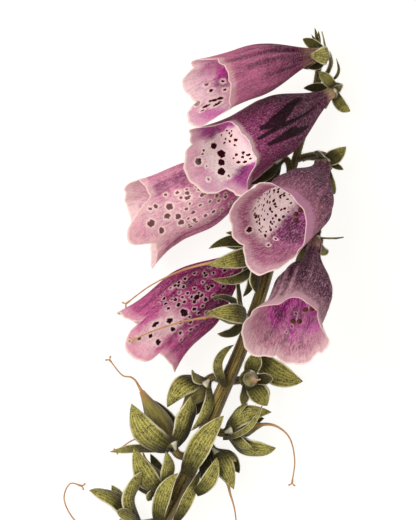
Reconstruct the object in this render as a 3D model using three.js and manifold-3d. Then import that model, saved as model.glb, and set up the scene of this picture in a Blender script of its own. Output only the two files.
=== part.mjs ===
// A cut foxglove flower spike (Digitalis purpurea) lying on a flat surface.
// Millimetres. +Y runs from the cut end to the tip, +Z is up, the surface is z = 0.
import * as THREE from 'three';
import { mergeVertices } from 'three/addons/utils/BufferGeometryUtils.js';
import Module from 'manifold-3d';

const wasm = await Module();
wasm.setup();

// ---------------------------------------------------------------- driving dimensions

const ORIGIN = [-0.33, -0.34, 0]; // bottom centre of the whole spike, in the coordinates used below
const GAP = 0.35; // clearance between pieces that touch in life
const PETAL = 0.6; // wall of a bell
const SEPAL = 0.45; // half the thickness of a sepal or bract along its midrib

const CUP_DEPTH = 0.4; // rim of a receptacle above its calyx point
const CUP_TAIL = 1.6; // foot of a receptacle below its calyx point
const CUP_RADIUS = 2.9; // at the rim
const CUP_WAIST = 2.1; // halfway down
const CUP_FOOT = 1.0; // where the stalk meets it
const SEPAL_ROOT = 2.0; // sepals spring from the receptacle at this radius
const SEPAL_DROP = 0.9; // and this far below its calyx point
const SEPAL_TURN = 1.1; // how strongly the sepals are pressed flat to the surface
const SEPAL_SPREAD = 0.48; // a sepal's middle lies this far out, as a share of its reach
const SEPAL_RISE = 0.3; // and this far up
const LEAF_STATIONS = [0, 0.3, 0.65, 1]; // shares of a leaf's length that get a section
const LEAF_LEAST_HALF = 0.3; // half the width at a leaf's point
const LEAF_RAISE = 0.25; // margins above the midrib, as a share of half the width

const BELL_BASE = 2.45; // usual outer radius of a bell where it leaves the receptacle
const BELL_BELLY = 0.09; // sag of the lower side at mid length, as a share of the radius
const FLARE_START = 0.86; // share of the length where the lips begin to turn out
const FLARE_LENGTH = 0.3;
const FLARE_REACH = 2.4;
const LOBE_ROUNDING = 0.6; // power that rounds a lobe off; greater is more pointed
const LOBE_STEPS = 4; // facets across a lobe
const BELL_RINGS = 6;

const FILAMENT = 0.25; // radii inside a bell
const ANTHER = 0.95;
const STYLE = 0.32;
const OVARY = 0.55;
const FILAMENT_ROOTS = [150, -150, 165, -165]; // angles at which the stamens leave the wall
// Where each stamen ends: angle, share of the bell's length, and share of the way to its wall.
const ANTHERS = [[150, 0.56, 0.72], [-150, 0.56, 0.72], [165, 0.7, 0.72], [-165, 0.7, 0.72]];
const COLLAR_LENGTH = [0.07, 0.12]; // shares of the bell where the ring under the stamens begins and ends
const COLLAR_SPREAD = [0.54, 0.38]; // its outer and inner radius, as shares of the bell's
// Outline of a capsule: shares of its height, and its radius there as a share of the greatest.
const CAPSULE_OUTLINE = [[0.24, 0.95], [0.42, 1], [0.68, 0.62], [0.86, 0.3]];
const CAPSULE_FOOT = 0.6; // radius on the receptacle, as a share of the greatest
const DRIED_STYLE = [0.34, 0.22]; // radius of a dried style, and what is added at its root

const FLOWER_STALK = 0.95; // radii of the stalks
const FRUIT_STALK = 1.15;
const BUD_LENGTH = 2.6; // of the bare shoot above the last bud
const BUD_SHOOT = [0.9, 0.4]; // its radius at both ends

// Stem from the tip down: x, y, z and radius.
const STEM_PATH = [
  [31.6, 66.0, 8.0, 0.75],
  [29.6, 53.5, 5.4, 0.95],
  [23.6, 33.0, 6.6, 1.1],
  [16.4, 3.8, 8.4, 1.5],
  [9.6, -16.0, 9.0, 1.75],
  [2.7, -31.9, 8.8, 1.95],
  [-5.7, -51.9, 7.0, 2.1],
  [-12.4, -64.7, 4.4, 2.2],
  [-16.2, -72.8, 2.3, 2.3],
];

// Open bells from the tip down. "middle" pulls the bell's axis into a curve, "lip" points from the axis
// to the spotted lower lip, "neck" is the width at the receptacle as a share of the usual, "swell" is the
// share of the length over which the bell widens and "joint" the share of the stem above the stalk. "rim"
// goes round the mouth from the lower lip: for each lobe its angle, its length, how far it turns out, and
// the angle and length of the notch after it. Each sepal is the place of its tip, its width, and a 1 if it
// lies face up. The top two stalks are thin and go round their neighbours.
const FLOWERS = [
  {
    base: [32.4, 65.4, 15.0], middle: [21.4, 65.2, 25.0], mouth: [4.4, 57.6, 34.5],
    lip: [-0.15, -0.9, -0.35], radius: 7.3, neck: 0.8, swell: [0.06, 0.78], joint: 0.06,
    stalk: 0.6, stalkRoute: [[33.2, 60.0, 8.2], [34.5, 63.3, 11.3]],
    rim: [
      [0, 12.5, 0.2, 38, 5], [76, 4, 0.7, 112, 2.5], [147, 2, 0.7, 180, 1.5],
      [213, 5.5, 0.7, 250, 4], [284, 7.5, 0.7, 320, 6],
    ],
    sepals: [
      [26.5, 69.8, 13.6, 3.2, 1], [28.4, 65.0, 22.8, 5.2], [26.0, 61.8, 13.6, 3.4, 1],
      [27.8, 61.7, 18.0, 2.6], [31.8, 71.8, 18.0, 1.2],
    ],
  },
  {
    base: [35.1, 55.0, 9.6], middle: [21.5, 46.8, 19.5], mouth: [6.7, 38.5, 28.0],
    lip: [-0.45, -0.25, -0.86], radius: 8.6, neck: 0.7, swell: [0.01, 0.6], joint: 0.1,
    stalk: 0.6, stalkRoute: [[33.4, 57.0, 4.2], [37.2, 56.8, 5.8]],
    rim: [
      [0, 10.7, 0.4, 48, 4.0], [90, 3.4, 2.6, 126, 0.5], [147, -1.5, 0.6, 180, -1.5],
      [213, -1, 0.6, 240, 0.5], [284, 7, 0.8, 318, 6],
    ],
    sepals: [
      [31.0, 60.7, 15.4, 3.2, 1], [37.7, 56.7, 13.4, 2.2, 1], [39.9, 49.6, 8.0, 3.8],
      [26.8, 56.0, 8.4, 3.0], [33.0, 50.4, 0.7, 1.8],
    ],
  },
  {
    base: [19.0, 35.4, 7.5], middle: [2.0, 28.8, 8.0], mouth: [-14.8, 21.2, 10.7],
    lip: [0.1, -0.37, 0.93], radius: 9.9, swell: [0.06, 0.7], point: 1.5, joint: 0.25,
    rim: [
      [4, 12, 0.7, 50, 0.5], [76, 0.7, 0.7, 112, 1], [147, 4.5, 0.7, 180, 5],
      [213, 6, 0.7, 245, 3.5], [284, 7, 1.5, 338, 4.5],
    ],
    sepals: [
      [11.4, 26.4, 9.6, 3.2], [11.8, 29.0, 14.0, 2.8], [11.8, 38.4, 13.4, 3.4],
      [13.0, 40.2, 6.0, 3.4], [9.4, 31.0, 1.6, 3.4],
    ],
  },
  {
    base: [12.2, 9.6, 8.2], middle: [-0.2, 0.6, 8.4], mouth: [-13.9, -11.7, 9.9],
    lip: [0.0, 0.0, 1.0], radius: 9.6, swell: [0.02, 0.7], point: 0.4, joint: 0.45,
    rim: [
      [0, 11.5, 0.4, 30, 2.5], [80, 5.5, 0.7, 112, 2], [147, 3, 0.4, 180, 1.5],
      [213, 3, 0.4, 250, 1.5], [288, 4.5, 1.1, 333, 4.5],
    ],
    sepals: [
      [7.6, 0.8, 14.6, 3.6], [9.8, -2.4, 9.4, 3.8], [3.6, 12.0, 12.6, 3.0],
      [5.2, 14.6, 6.4, 3.2], [6.4, 1.6, 1.2, 3.6],
    ],
  },
  {
    base: [32.5, 34.9, 8.2], middle: [28.4, 23.7, 19.8], mouth: [19.8, 18.2, 37.5],
    lip: [-0.9, 0.2, -0.3], radius: 9.4, swell: [0.0, 0.6], joint: 0.21,
    rim: [
      [0, 5.5, 1.4, 42, 3], [82, 6, 1.8, 122, 2.5], [150, 4, 0.3, 185, 3],
      [215, 3, 0.3, 250, 2.5], [278, 4.5, 1.8, 306, 2.5],
    ],
    anthers: [[150, 0.6, 0.72], [-135, 0.87, 0.64], [165, 0.7, 0.72], [-160, 0.9, 0.4]],
    sepals: [
      [38.7, 39.6, 13.4, 4.4, 1], [38.0, 33.2, 10.0, 1.8, 1], [35.6, 26.4, 0.5, 3.6],
      [26.6, 35.4, 12.6, 2.2], [30.9, 38.4, 14.6, 4.2],
    ],
  },
  {
    base: [30.2, 13.4, 8.2], middle: [28.0, 1.0, 22.0], mouth: [22.6, -10.0, 36.5],
    lip: [0.15, -0.75, -0.6], radius: 8.2, neck: 0.8, swell: [0.12, 0.6], joint: 0.3,
    rim: [
      [15, 4.5, 1.2, 52, 3], [84, 4.5, 2.5, 110, -3], [147, -1.5, 0.9, 178, 0.5],
      [213, 6, 1.2, 243, 5.5], [284, 6.5, 1.5, 335, 2.8],
    ],
    anthers: [[115, 0.87, 0.62], [-150, 0.6, 0.7], [5, 0.86, 0.3], [-165, 0.7, 0.72]],
    sepals: [
      [38.0, 14.2, 13.0, 1.8], [33.8, 10.6, 0.2, 2.6], [26.6, 12.6, 15.4, 2.6],
      [24.6, 6.4, 4.4, 3.4], [30.8, 19.6, 15.4, 2.8],
    ],
  },
];

// Flowers that have dropped their bells, from the top down. "tip" is the point of the capsule,
// "style" the way its dried style takes from there.
const FRUITS = [
  {
    base: [13.6, 9.8, 19.0], tip: [3.0, 7.4, 21.5], radius: 2.0, joint: 0.42,
    style: [[0.0, 6.9, 21.6], [-7.6, 4.8, 19.5], [-16.2, 0.6, 15.5], [-23.0, -4.4, 11.5]],
    sepals: [
      [-0.2, 6.4, 25.4, 5.6], [0.8, 2.6, 21.8, 3.4], [0.2, 11.0, 19.4, 3.8],
      [13.4, -1.4, 20.8, 5.4], [5.0, 15.4, 22.0, 3.2],
    ],
  },
  {
    base: [9.4, -8.6, 15.6], tip: [1.4, -7.8, 20.6], radius: 1.9, joint: 0.6,
    style: [[-0.6, -8.2, 21.4], [-7.0, -9.4, 23.2], [-15.1, -11.9, 23.4], [-21.0, -14.4, 22.6]],
    sepals: [
      [-0.6, -7.0, 24.2, 5.6], [1.0, -2.6, 20.6, 2.4], [2.6, -12.8, 18.8, 3.4],
      [8.6, 4.0, 17.4, 3.0], [12.0, -14.4, 19.6, 3.0],
    ],
  },
  {
    base: [11.4, -25.6, 10.0], tip: [13.0, -25.4, 17.4], radius: 2.1, joint: 0.65,
    style: [[13.2, -25.5, 18.6], [13.7, -25.8, 20.2]],
    sepals: [
      [14.0, -18.0, 13.6, 4.8], [16.6, -33.0, 11.6, 5.8], [9.4, -32.8, 14.4, 4.0],
      [18.2, -25.4, 14.6, 3.4], [15.8, -31.6, 3.4, 5.0],
    ],
  },
  {
    base: [-1.0, -27.0, 8.6], tip: [-7.4, -34.0, 9.6], radius: 2.8, joint: 0.655,
    style: [
      [-7.0, -38.4, 6.0], [-7.4, -42.4, 3.2], [-14.0, -43.6, 1.8],
      [-20.0, -42.4, 1.9], [-25.4, -45.6, 2.0],
    ],
    sepals: [
      [-11.4, -33.4, 12.4, 6.6], [-4.8, -40.0, 14.4, 3.4], [-4.6, -23.2, 14.4, 4.2],
      [-8.6, -28.8, 2.4, 5.4], [-4.8, -36.4, 1.6, 4.2],
    ],
  },
  {
    base: [6.4, -40.2, 9.4], tip: [15.8, -38.2, 9.6], radius: 2.6, joint: 0.72,
    style: [[18.8, -38.6, 9.4], [22.6, -41.6, 9.0], [24.3, -48.0, 7.6], [23.6, -54.8, 6.0]],
    sepals: [
      [17.8, -34.8, 12.6, 5.6], [19.0, -44.8, 10.6, 6.6], [11.2, -32.4, 13.6, 2.4],
      [15.8, -36.6, 3.4, 5.0], [12.2, -44.6, 15.4, 3.4],
    ],
  },
  {
    base: [-10.2, -44.0, 10.0], tip: [-19.2, -27.9, 10.2], radius: 3.5, joint: 0.8,
    style: [[-20.4, -25.9, 10.2], [-21.6, -25.0, 10.2], [-23.8, -24.6, 9.8], [-27.6, -20.2, 8.6]],
    sepals: [
      [-21.4, -32.4, 14.6, 8.2], [-4.9, -30.4, 14.6, 7.2], [-27.4, -46.0, 7.4, 3.6],
      [-15.0, -31.6, 3.0, 6.4], [-19.2, -38.4, 4.6, 5.4],
    ],
  },
  {
    base: [1.7, -46.6, 7.2], tip: [5.6, -55.0, 7.4], radius: 2.5, joint: 0.77,
    style: [[6.2, -57.6, 7.2], [7.4, -61.8, 6.4], [7.9, -66.0, 5.2], [7.8, -70.4, 3.8]],
    sepals: [
      [8.0, -48.6, 11.4, 3.4], [7.2, -56.4, 11.0, 5.8], [-0.6, -55.6, 12.4, 4.0],
      [8.8, -52.0, 2.4, 5.0], [1.6, -55.6, 1.6, 4.6],
    ],
  },
  {
    base: [-13.4, -56.2, 8.4], tip: [-17.4, -48.2, 8.0], radius: 2.4, joint: 0.905,
    style: [[-18.2, -46.4, 7.6], [-19.4, -44.4, 6.6]],
    sepals: [
      [-20.7, -44.6, 11.0, 6.4], [-11.8, -45.8, 13.8, 4.4], [-21.0, -52.8, 3.6, 5.0],
      [-16.8, -59.8, 10.8, 3.0], [-16.2, -46.6, 1.6, 4.2],
    ],
  },
  {
    base: [-20.2, -66.4, 7.2], tip: [-27.8, -67.2, 8.2], radius: 2.6, joint: 0.94,
    style: [
      [-31.6, -68.6, 7.8], [-37.2, -65.4, 6.6], [-40.4, -59.0, 5.6],
      [-38.6, -54.9, 4.8], [-35.4, -55.6, 4.4],
    ],
    sepals: [
      [-33.3, -56.8, 9.0, 7.0], [-18.4, -51.4, 15.6, 6.0], [-27.0, -55.4, 2.0, 5.0],
      [-28.6, -72.0, 4.6, 5.0], [-25.6, -62.6, 17.4, 4.4],
    ],
  },
];

// Bracts: root, middle and tip of the midrib, the width, and which way the upper face looks.
const BRACTS = [
  {
    root: [35.0, 58.4, 10.6], middle: [37.9, 60.2, 13.0], tip: [35.9, 64.2, 15.4],
    width: 1.1, face: [-0.6, -0.3, 0.75],
  },
  {
    root: [4.9, -27.4, 12.2], middle: [0.2, -20.0, 12.6], tip: [7.2, -16.0, 13.2],
    width: 3.4, face: [-0.5, 0.2, 0.85],
  },
  {
    root: [14.2, -19.0, 7.6], middle: [18.0, -25.4, 6.6], tip: [26.6, -26.2, 4.6],
    width: 7.0, face: [0.0, 0.0, 1.0],
  },
  {
    root: [4.2, -42.2, 13.6], middle: [12.4, -41.6, 15.0], tip: [15.3, -32.6, 16.4],
    width: 2.2, face: [-0.3, 0.5, 0.8],
  },
  {
    root: [-6.0, -52.4, 12.0], middle: [-2.8, -43.6, 15.4], tip: [4.4, -35.8, 15.4],
    width: 6.8, face: [-0.2, 0.2, 1.0],
  },
  {
    root: [-3.4, -57.4, 13.0], middle: [1.4, -54.4, 14.6], tip: [2.4, -47.4, 15.0],
    width: 4.4, face: [0.2, 0.0, 1.0],
  },
  {
    root: [-9.2, -65.6, 8.8], middle: [-5.4, -59.0, 11.6], tip: [-2.2, -51.0, 12.2],
    width: 3.6, face: [0.3, -0.1, 1.0],
  },
  {
    root: [-13.6, -66.0, 10.4], middle: [-14.2, -58.0, 13.4], tip: [-8.4, -51.8, 14.6],
    width: 5.0, face: [-0.3, 0.1, 1.0],
  },
];

// Undeveloped buds at the tip of the stem: tips of the little leaves round them, and their widths.
const TIP_BUDS = [
  [29.0, 71.0, 11.6, 1.0], [29.9, 73.0, 10.6, 1.1], [31.0, 72.1, 9.4, 1.0],
  [28.6, 69.8, 7.4, 1.0], [30.6, 71.6, 6.8, 1.0],
];

// ---------------------------------------------------------------- materials

function finish(color, roughness) {
  return () => new THREE.MeshStandardMaterial({ color, roughness, metalness: 0 });
}

const petalFinish = finish(0x9a5a8c, 0.6);
const anthersFinish = finish(0xb08a5a, 0.7);
const styleFinish = finish(0xc79a66, 0.6);
const greenFinish = finish(0x767f35, 0.65);
const stemFinish = finish(0x7a7445, 0.7);

// ---------------------------------------------------------------- geometry helpers

const FACE_UP = new THREE.Vector3(0, 0, 1);

const vector = (values) => new THREE.Vector3(values[0], values[1], values[2]);
const mix = (a, b, share) => a.clone().lerp(b, share);

function squareTo(direction, axis) {
  return direction.clone().addScaledVector(axis, -direction.dot(axis)).normalize();
}

function smoothstep(from, to, value) {
  return THREE.MathUtils.smoothstep(value, from, to);
}

// Joins rings of equal length into one closed surface. A looped loft runs from its last ring back
// to its first, and any other loft is closed with a fan at each end.
function loft(rings, looped = false) {
  const sides = rings[0].length;
  const points = rings.flat();
  const faces = [];
  const bands = looped ? rings.length : rings.length - 1;
  for (let band = 0; band < bands; band += 1) {
    const here = band * sides;
    const next = ((band + 1) % rings.length) * sides;
    for (let side = 0; side < sides; side += 1) {
      const other = (side + 1) % sides;
      faces.push(here + side, here + other, next + other);
      faces.push(here + side, next + other, next + side);
    }
  }
  if (!looped) {
    addFan(points, faces, 0, sides, true);
    addFan(points, faces, (rings.length - 1) * sides, sides, false);
  }
  const geometry = new THREE.BufferGeometry().setFromPoints(points);
  geometry.setIndex(faces);
  return geometry;
}

function addFan(points, faces, start, sides, backwards) {
  const centre = new THREE.Vector3();
  for (let side = 0; side < sides; side += 1) {
    centre.addScaledVector(points[start + side], 1 / sides);
  }
  const hub = points.push(centre) - 1;
  for (let side = 0; side < sides; side += 1) {
    const a = start + side;
    const b = start + ((side + 1) % sides);
    faces.push(hub, backwards ? b : a, backwards ? a : b);
  }
}

// A round ring of points about a centre, square to the axis.
function ring(centre, axis, reference, radius, sides) {
  const first = squareTo(reference, axis);
  const second = new THREE.Vector3().crossVectors(axis, first);
  const points = [];
  for (let side = 0; side < sides; side += 1) {
    const angle = (side / sides) * 2 * Math.PI;
    points.push(centre.clone()
      .addScaledVector(first, radius * Math.cos(angle))
      .addScaledVector(second, radius * Math.sin(angle)));
  }
  return points;
}

// A round rod along a curve. radiusAt gives its radius at each share of the curve's length.
function rod(curve, radiusAt, steps, sides) {
  const frames = curve.computeFrenetFrames(steps, false);
  const rings = [];
  for (let step = 0; step <= steps; step += 1) {
    const share = step / steps;
    const centre = curve.getPointAt(share);
    rings.push(ring(centre, frames.tangents[step], frames.normals[step], radiusAt(share), sides));
  }
  return loft(rings);
}

function toSolid(geometry) {
  const merged = mergeVertices(geometry);
  return new wasm.Manifold(new wasm.Mesh({
    numProp: 3,
    vertProperties: new Float32Array(merged.attributes.position.array),
    triVerts: new Uint32Array(merged.index.array),
  }));
}

// One geometry from several that grow into each other.
function joined(geometries) {
  const solid = geometries.map(toSolid).reduce((whole, piece) => whole.add(piece));
  const mesh = solid.getMesh();
  const geometry = new THREE.BufferGeometry();
  geometry.setAttribute('position', new THREE.BufferAttribute(mesh.vertProperties, 3));
  geometry.setIndex(new THREE.BufferAttribute(mesh.triVerts, 1));
  return geometry;
}

const spike = new THREE.Group();
spike.position.set(-ORIGIN[0], -ORIGIN[1], -ORIGIN[2]);

function addPiece(name, geometry, makeMaterial) {
  const mesh = new THREE.Mesh(geometry, makeMaterial());
  mesh.geometry.computeVertexNormals();
  mesh.name = name;
  spike.add(mesh);
}

// ---------------------------------------------------------------- sepals, bracts and buds

// Half the width of a leaf at a share of its length, as a share of its greatest half width.
function leafOutline(share) {
  return 0.08 + 0.92 * Math.sin(Math.PI * Math.min(1, 0.18 + 0.82 * share) ** 1.15) ** 0.8;
}

// A pointed leaf along a bent midrib, its margins raised towards the upper face.
function leaf(root, middle, tip, width, face) {
  const midrib = new THREE.QuadraticBezierCurve3(root, middle, tip);
  const rings = LEAF_STATIONS.map((share) => {
    const centre = midrib.getPoint(share);
    const along = midrib.getTangent(share);
    const up = squareTo(face, along);
    const side = new THREE.Vector3().crossVectors(up, along);
    const half = Math.max(LEAF_LEAST_HALF, (width / 2) * leafOutline(share));
    const raise = half * LEAF_RAISE;
    const place = (across, height) => (
      centre.clone().addScaledVector(side, across).addScaledVector(up, height)
    );
    return [place(half, raise), place(0, SEPAL), place(-half, raise), place(0, -SEPAL)];
  });
  return loft(rings);
}

// A receptacle with five sepals round it, opening along the axis, with neck its width as a share of the
// usual.
function calyx(base, axis, sepals, neck) {
  const reference = new THREE.Vector3(0.3, 0.2, 1);
  const cup = loft([
    ring(base.clone().addScaledVector(axis, -CUP_TAIL), axis, reference, CUP_FOOT * neck, 8),
    ring(base.clone().addScaledVector(axis, -CUP_TAIL / 2), axis, reference, CUP_WAIST * neck, 8),
    ring(base.clone().addScaledVector(axis, CUP_DEPTH), axis, reference, CUP_RADIUS * neck, 8),
  ]);
  const leaves = sepals.map((sepal) => {
    const tip = vector(sepal);
    const outward = squareTo(tip.clone().sub(base), axis);
    const root = base.clone().addScaledVector(outward, SEPAL_ROOT * neck).addScaledVector(axis, -SEPAL_DROP);
    const reach = root.distanceTo(tip);
    const middle = root.clone()
      .addScaledVector(outward, reach * SEPAL_SPREAD)
      .addScaledVector(axis, reach * SEPAL_RISE);
    const pressed = axis.clone().addScaledVector(outward, -0.7);
    pressed.z -= SEPAL_TURN * Math.sign(outward.z);
    return leaf(root, middle, tip, sepal[3], sepal[4] ? FACE_UP : pressed);
  });
  return joined([cup, ...leaves]);
}

// ---------------------------------------------------------------- bells

// How far the lips turn out at an angle round the mouth, between one lobe and the next.
function lipTurn(rim, degrees) {
  for (let index = 0; index < rim.length; index += 1) {
    const [from, , turn] = rim[index];
    const [to, , nextTurn] = rim[(index + 1) % rim.length];
    const offset = (degrees - from + 720) % 360;
    const span = (to - from + 360) % 360;
    if (offset <= span) {
      return THREE.MathUtils.lerp(turn, nextTurn, offset / span);
    }
  }
  return rim[0][2];
}

// The shape of one bell: where its skin is at a share of the length and an angle from the lower lip.
function bellShape(flower) {
  const base = vector(flower.base);
  const middle = vector(flower.middle);
  const axis = middle.clone().sub(base).normalize();
  const lip = vector(flower.lip);
  const neck = BELL_BASE * (flower.neck ?? 1);
  const start = base.clone().addScaledVector(axis, CUP_DEPTH + GAP);
  const curve = new THREE.QuadraticBezierCurve3(start, middle, vector(flower.mouth));
  const length = curve.getLength();

  const radiusAt = (share, degrees) => {
    const swell = smoothstep(flower.swell[0], flower.swell[1], share);
    const lipShare = Math.max(0, share - FLARE_START) / FLARE_LENGTH;
    const turnedOut = lipTurn(flower.rim, degrees) * FLARE_REACH * lipShare ** 1.6;
    return neck + (flower.radius - neck) * swell + turnedOut;
  };

  const place = (share, degrees, inset) => {
    const inTube = Math.min(share, 1);
    const along = curve.getTangent(inTube);
    const centre = curve.getPoint(inTube).addScaledVector(along, (share - inTube) * length);
    const down = squareTo(lip, along);
    const side = new THREE.Vector3().crossVectors(along, down);
    const radius = radiusAt(share, degrees) - inset;
    const angle = THREE.MathUtils.degToRad(degrees);
    const belly = BELL_BELLY * flower.radius * Math.sin(Math.PI * Math.min(1, share));
    return centre
      .addScaledVector(down, radius * Math.cos(angle) + belly)
      .addScaledVector(side, radius * Math.sin(angle));
  };
  return { axis, length, neck, place, radiusAt };
}

// How far the rim runs past the throat at an angle: rounded lobes with notches between them.
function lobeReach(flower, degrees) {
  const { rim } = flower;
  for (let index = 0; index < rim.length; index += 1) {
    const [centre, lobe, , notchAfter, reachAfter] = rim[index];
    const [, , , notchBefore, reachBefore] = rim[(index + rim.length - 1) % rim.length];
    const offset = ((degrees - centre + 900) % 360) - 180;
    const span = offset > 0 ? notchAfter - centre : (centre - notchBefore + 360) % 360;
    const share = Math.abs(offset) / span;
    if (share <= 1.0001) {
      const notch = offset > 0 ? reachAfter : reachBefore;
      const roundness = Math.max(0, 1 - share ** 2) ** (flower.point ?? LOBE_ROUNDING);
      return THREE.MathUtils.lerp(notch, lobe, roundness);
    }
  }
  return 0;
}

function rimAngles(rim) {
  const angles = [];
  rim.forEach(([, , , notchAfter], index) => {
    const from = rim[(index + rim.length - 1) % rim.length][3];
    const span = (notchAfter - from + 360) % 360;
    for (let step = 0; step < LOBE_STEPS; step += 1) {
      angles.push(from + (step / LOBE_STEPS) * span);
    }
  });
  return angles;
}

function corolla(flower, shape) {
  const angles = rimAngles(flower.rim);
  const skin = (share, inset) => angles.map((degrees) => {
    const reach = (lobeReach(flower, degrees) / shape.length) * share ** 5;
    return shape.place(share + reach, degrees, inset);
  });
  const outside = [];
  const inside = [];
  for (let step = 0; step <= BELL_RINGS; step += 1) {
    const share = step / BELL_RINGS;
    outside.push(skin(share, 0));
    inside.unshift(skin(share, PETAL));
  }
  return loft([...outside, ...inside], true);
}

// ---------------------------------------------------------------- inside a bell

// Places inside a bell: a share of the way from its axis to its inner wall.
function insideBell(shape, share, degrees, spread) {
  const inset = shape.radiusAt(share, degrees) * (1 - spread);
  return shape.place(share, degrees, inset);
}

// Four filaments with anthers, standing on the ring where they leave the wall of the bell.
function stamens(shape, anthers) {
  const ringSides = [0, 60, 120, 180, 240, 300];
  const hoop = (share, spread) => ringSides.map((degrees) => insideBell(shape, share, degrees, spread));
  const [from, to] = COLLAR_LENGTH;
  const [outer, inner] = COLLAR_SPREAD;
  const collar = loft([hoop(from, outer), hoop(to, outer), hoop(to, inner), hoop(from, inner)], true);
  const collarMiddle = (from + to) / 2;
  const filaments = anthers.map(([degrees, reach, spread], index) => {
    const rootDegrees = FILAMENT_ROOTS[index];
    const path = new THREE.CatmullRomCurve3([
      insideBell(shape, collarMiddle, rootDegrees, (outer + inner) / 2),
      insideBell(shape, 0.18, rootDegrees, 0.42),
      insideBell(shape, 0.34, rootDegrees, 0.5),
      insideBell(shape, reach, degrees, spread),
    ]);
    const thickness = (position) => (position > 0.8 && position < 0.99 ? ANTHER : FILAMENT);
    return rod(path, thickness, 6, 4);
  });
  return joined([collar, ...filaments]);
}

// Ovary on the receptacle, with its style under the upper wall of the bell and its stigma.
function pistil(shape) {
  const path = new THREE.CatmullRomCurve3([
    insideBell(shape, 0, 0, 0),
    insideBell(shape, 0.1, 0, 0),
    insideBell(shape, 0.35, 180, 0.34),
    insideBell(shape, 0.78, 180, 0.6),
  ]);
  const ovary = OVARY * (shape.neck / BELL_BASE);
  const thickness = (share) => (share < 0.2 ? ovary : STYLE) + (share > 0.95 ? 0.2 : 0);
  return rod(path, thickness, 9, 5);
}

// ---------------------------------------------------------------- capsules

// A young capsule tapering into its dried style, which ends in a forked stigma.
function capsule(fruit) {
  const base = vector(fruit.base);
  const tip = vector(fruit.tip);
  const axis = tip.clone().sub(base).normalize();
  const reference = new THREE.Vector3(0.2, 0.3, 1);
  const height = base.distanceTo(tip);
  const foot = (CUP_DEPTH + GAP) / height;
  const rings = [[foot, CAPSULE_FOOT], ...CAPSULE_OUTLINE].map(([share, width]) => (
    ring(mix(base, tip, share), axis, reference, fruit.radius * width, 6)
  ));
  const path = new THREE.CatmullRomCurve3([mix(base, tip, 0.94), tip, ...fruit.style.map(vector)]);
  const steps = 3 + 2 * fruit.style.length;
  const frames = path.computeFrenetFrames(steps, false);
  for (let step = 0; step <= steps; step += 1) {
    const share = step / steps;
    const thickness = DRIED_STYLE[0] + DRIED_STYLE[1] * (1 - share) ** 3;
    rings.push(ring(path.getPointAt(share), frames.tangents[step], reference, thickness, 6));
  }
  return loft(rings);
}

// ---------------------------------------------------------------- stem

const stemCurve = new THREE.CatmullRomCurve3(STEM_PATH.map(vector));

function stemRadius(share) {
  const position = share * (STEM_PATH.length - 1);
  const index = Math.min(STEM_PATH.length - 2, Math.floor(position));
  return THREE.MathUtils.lerp(STEM_PATH[index][3], STEM_PATH[index + 1][3], position - index);
}

// A short stalk that leaves the stem and meets a receptacle along its axis.
// A route round its neighbours is given for a stalk that can't bend straight there.
function stalk(joint, base, axis, radius, route) {
  const end = base.clone().addScaledVector(axis, -CUP_TAIL - GAP);
  const start = stemCurve.getPointAt(joint);
  if (route) {
    return rod(new THREE.CatmullRomCurve3([start, ...route.map(vector), end]), () => radius, 7, 6);
  }
  const middle = end.clone().addScaledVector(axis, -0.45 * start.distanceTo(end));
  return rod(new THREE.QuadraticBezierCurve3(start, middle, end), () => radius, 3, 6);
}

// ---------------------------------------------------------------- assembly

const stalks = [];

FLOWERS.forEach((flower, index) => {
  const number = index + 1;
  const base = vector(flower.base);
  const shape = bellShape(flower);
  addPiece(`corolla_${number}`, corolla(flower, shape), petalFinish);
  addPiece(`stamens_${number}`, stamens(shape, flower.anthers ?? ANTHERS), anthersFinish);
  addPiece(`pistil_${number}`, pistil(shape), styleFinish);
  addPiece(`calyx_${number}`, calyx(base, shape.axis, flower.sepals, flower.neck ?? 1), greenFinish);
  stalks.push(stalk(flower.joint, base, shape.axis, flower.stalk ?? FLOWER_STALK, flower.stalkRoute));
});

FRUITS.forEach((fruit, index) => {
  const number = index + 1;
  const base = vector(fruit.base);
  const axis = vector(fruit.tip).sub(base).normalize();
  addPiece(`fruit_calyx_${number}`, calyx(base, axis, fruit.sepals, 1), greenFinish);
  addPiece(`capsule_${number}`, capsule(fruit), styleFinish);
  stalks.push(stalk(fruit.joint, base, axis, FRUIT_STALK));
});

BRACTS.forEach((bract, index) => {
  const [root, middle, tip, face] = [bract.root, bract.middle, bract.tip, bract.face].map(vector);
  addPiece(`bract_${index + 1}`, leaf(root, middle, tip, bract.width, face), greenFinish);
});

const stemTop = vector(STEM_PATH[0]).add(new THREE.Vector3(-0.4, 1.4, 0.2)); // just clear of the stem
const budAxis = new THREE.Vector3(-0.2, 0.98, 0.05).normalize();
const shoot = new THREE.LineCurve3(
  stemTop.clone().addScaledVector(budAxis, -0.6),
  stemTop.clone().addScaledVector(budAxis, BUD_LENGTH),
);
const buds = TIP_BUDS.map((bud) => {
  const tip = vector(bud);
  return leaf(stemTop, mix(stemTop, tip, 0.5), tip, bud[3], new THREE.Vector3(0.1, 0.05, 1));
});
const shootRadius = (share) => THREE.MathUtils.lerp(BUD_SHOOT[0], BUD_SHOOT[1], share);
addPiece('tip_buds', joined([rod(shoot, shootRadius, 2, 6), ...buds]), greenFinish);

addPiece('stem', joined([rod(stemCurve, stemRadius, 18, 8), ...stalks]), stemFinish);

export default spike;
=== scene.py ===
"""A cut foxglove flower spike lying on a pale table, seen from straight above.

The tables are in millimetres and repeat the driving dimensions of the frame. The meshes are in metres.
+Y runs from the cut end to the tip of the spike and +Z is up.
"""

import math

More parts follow.
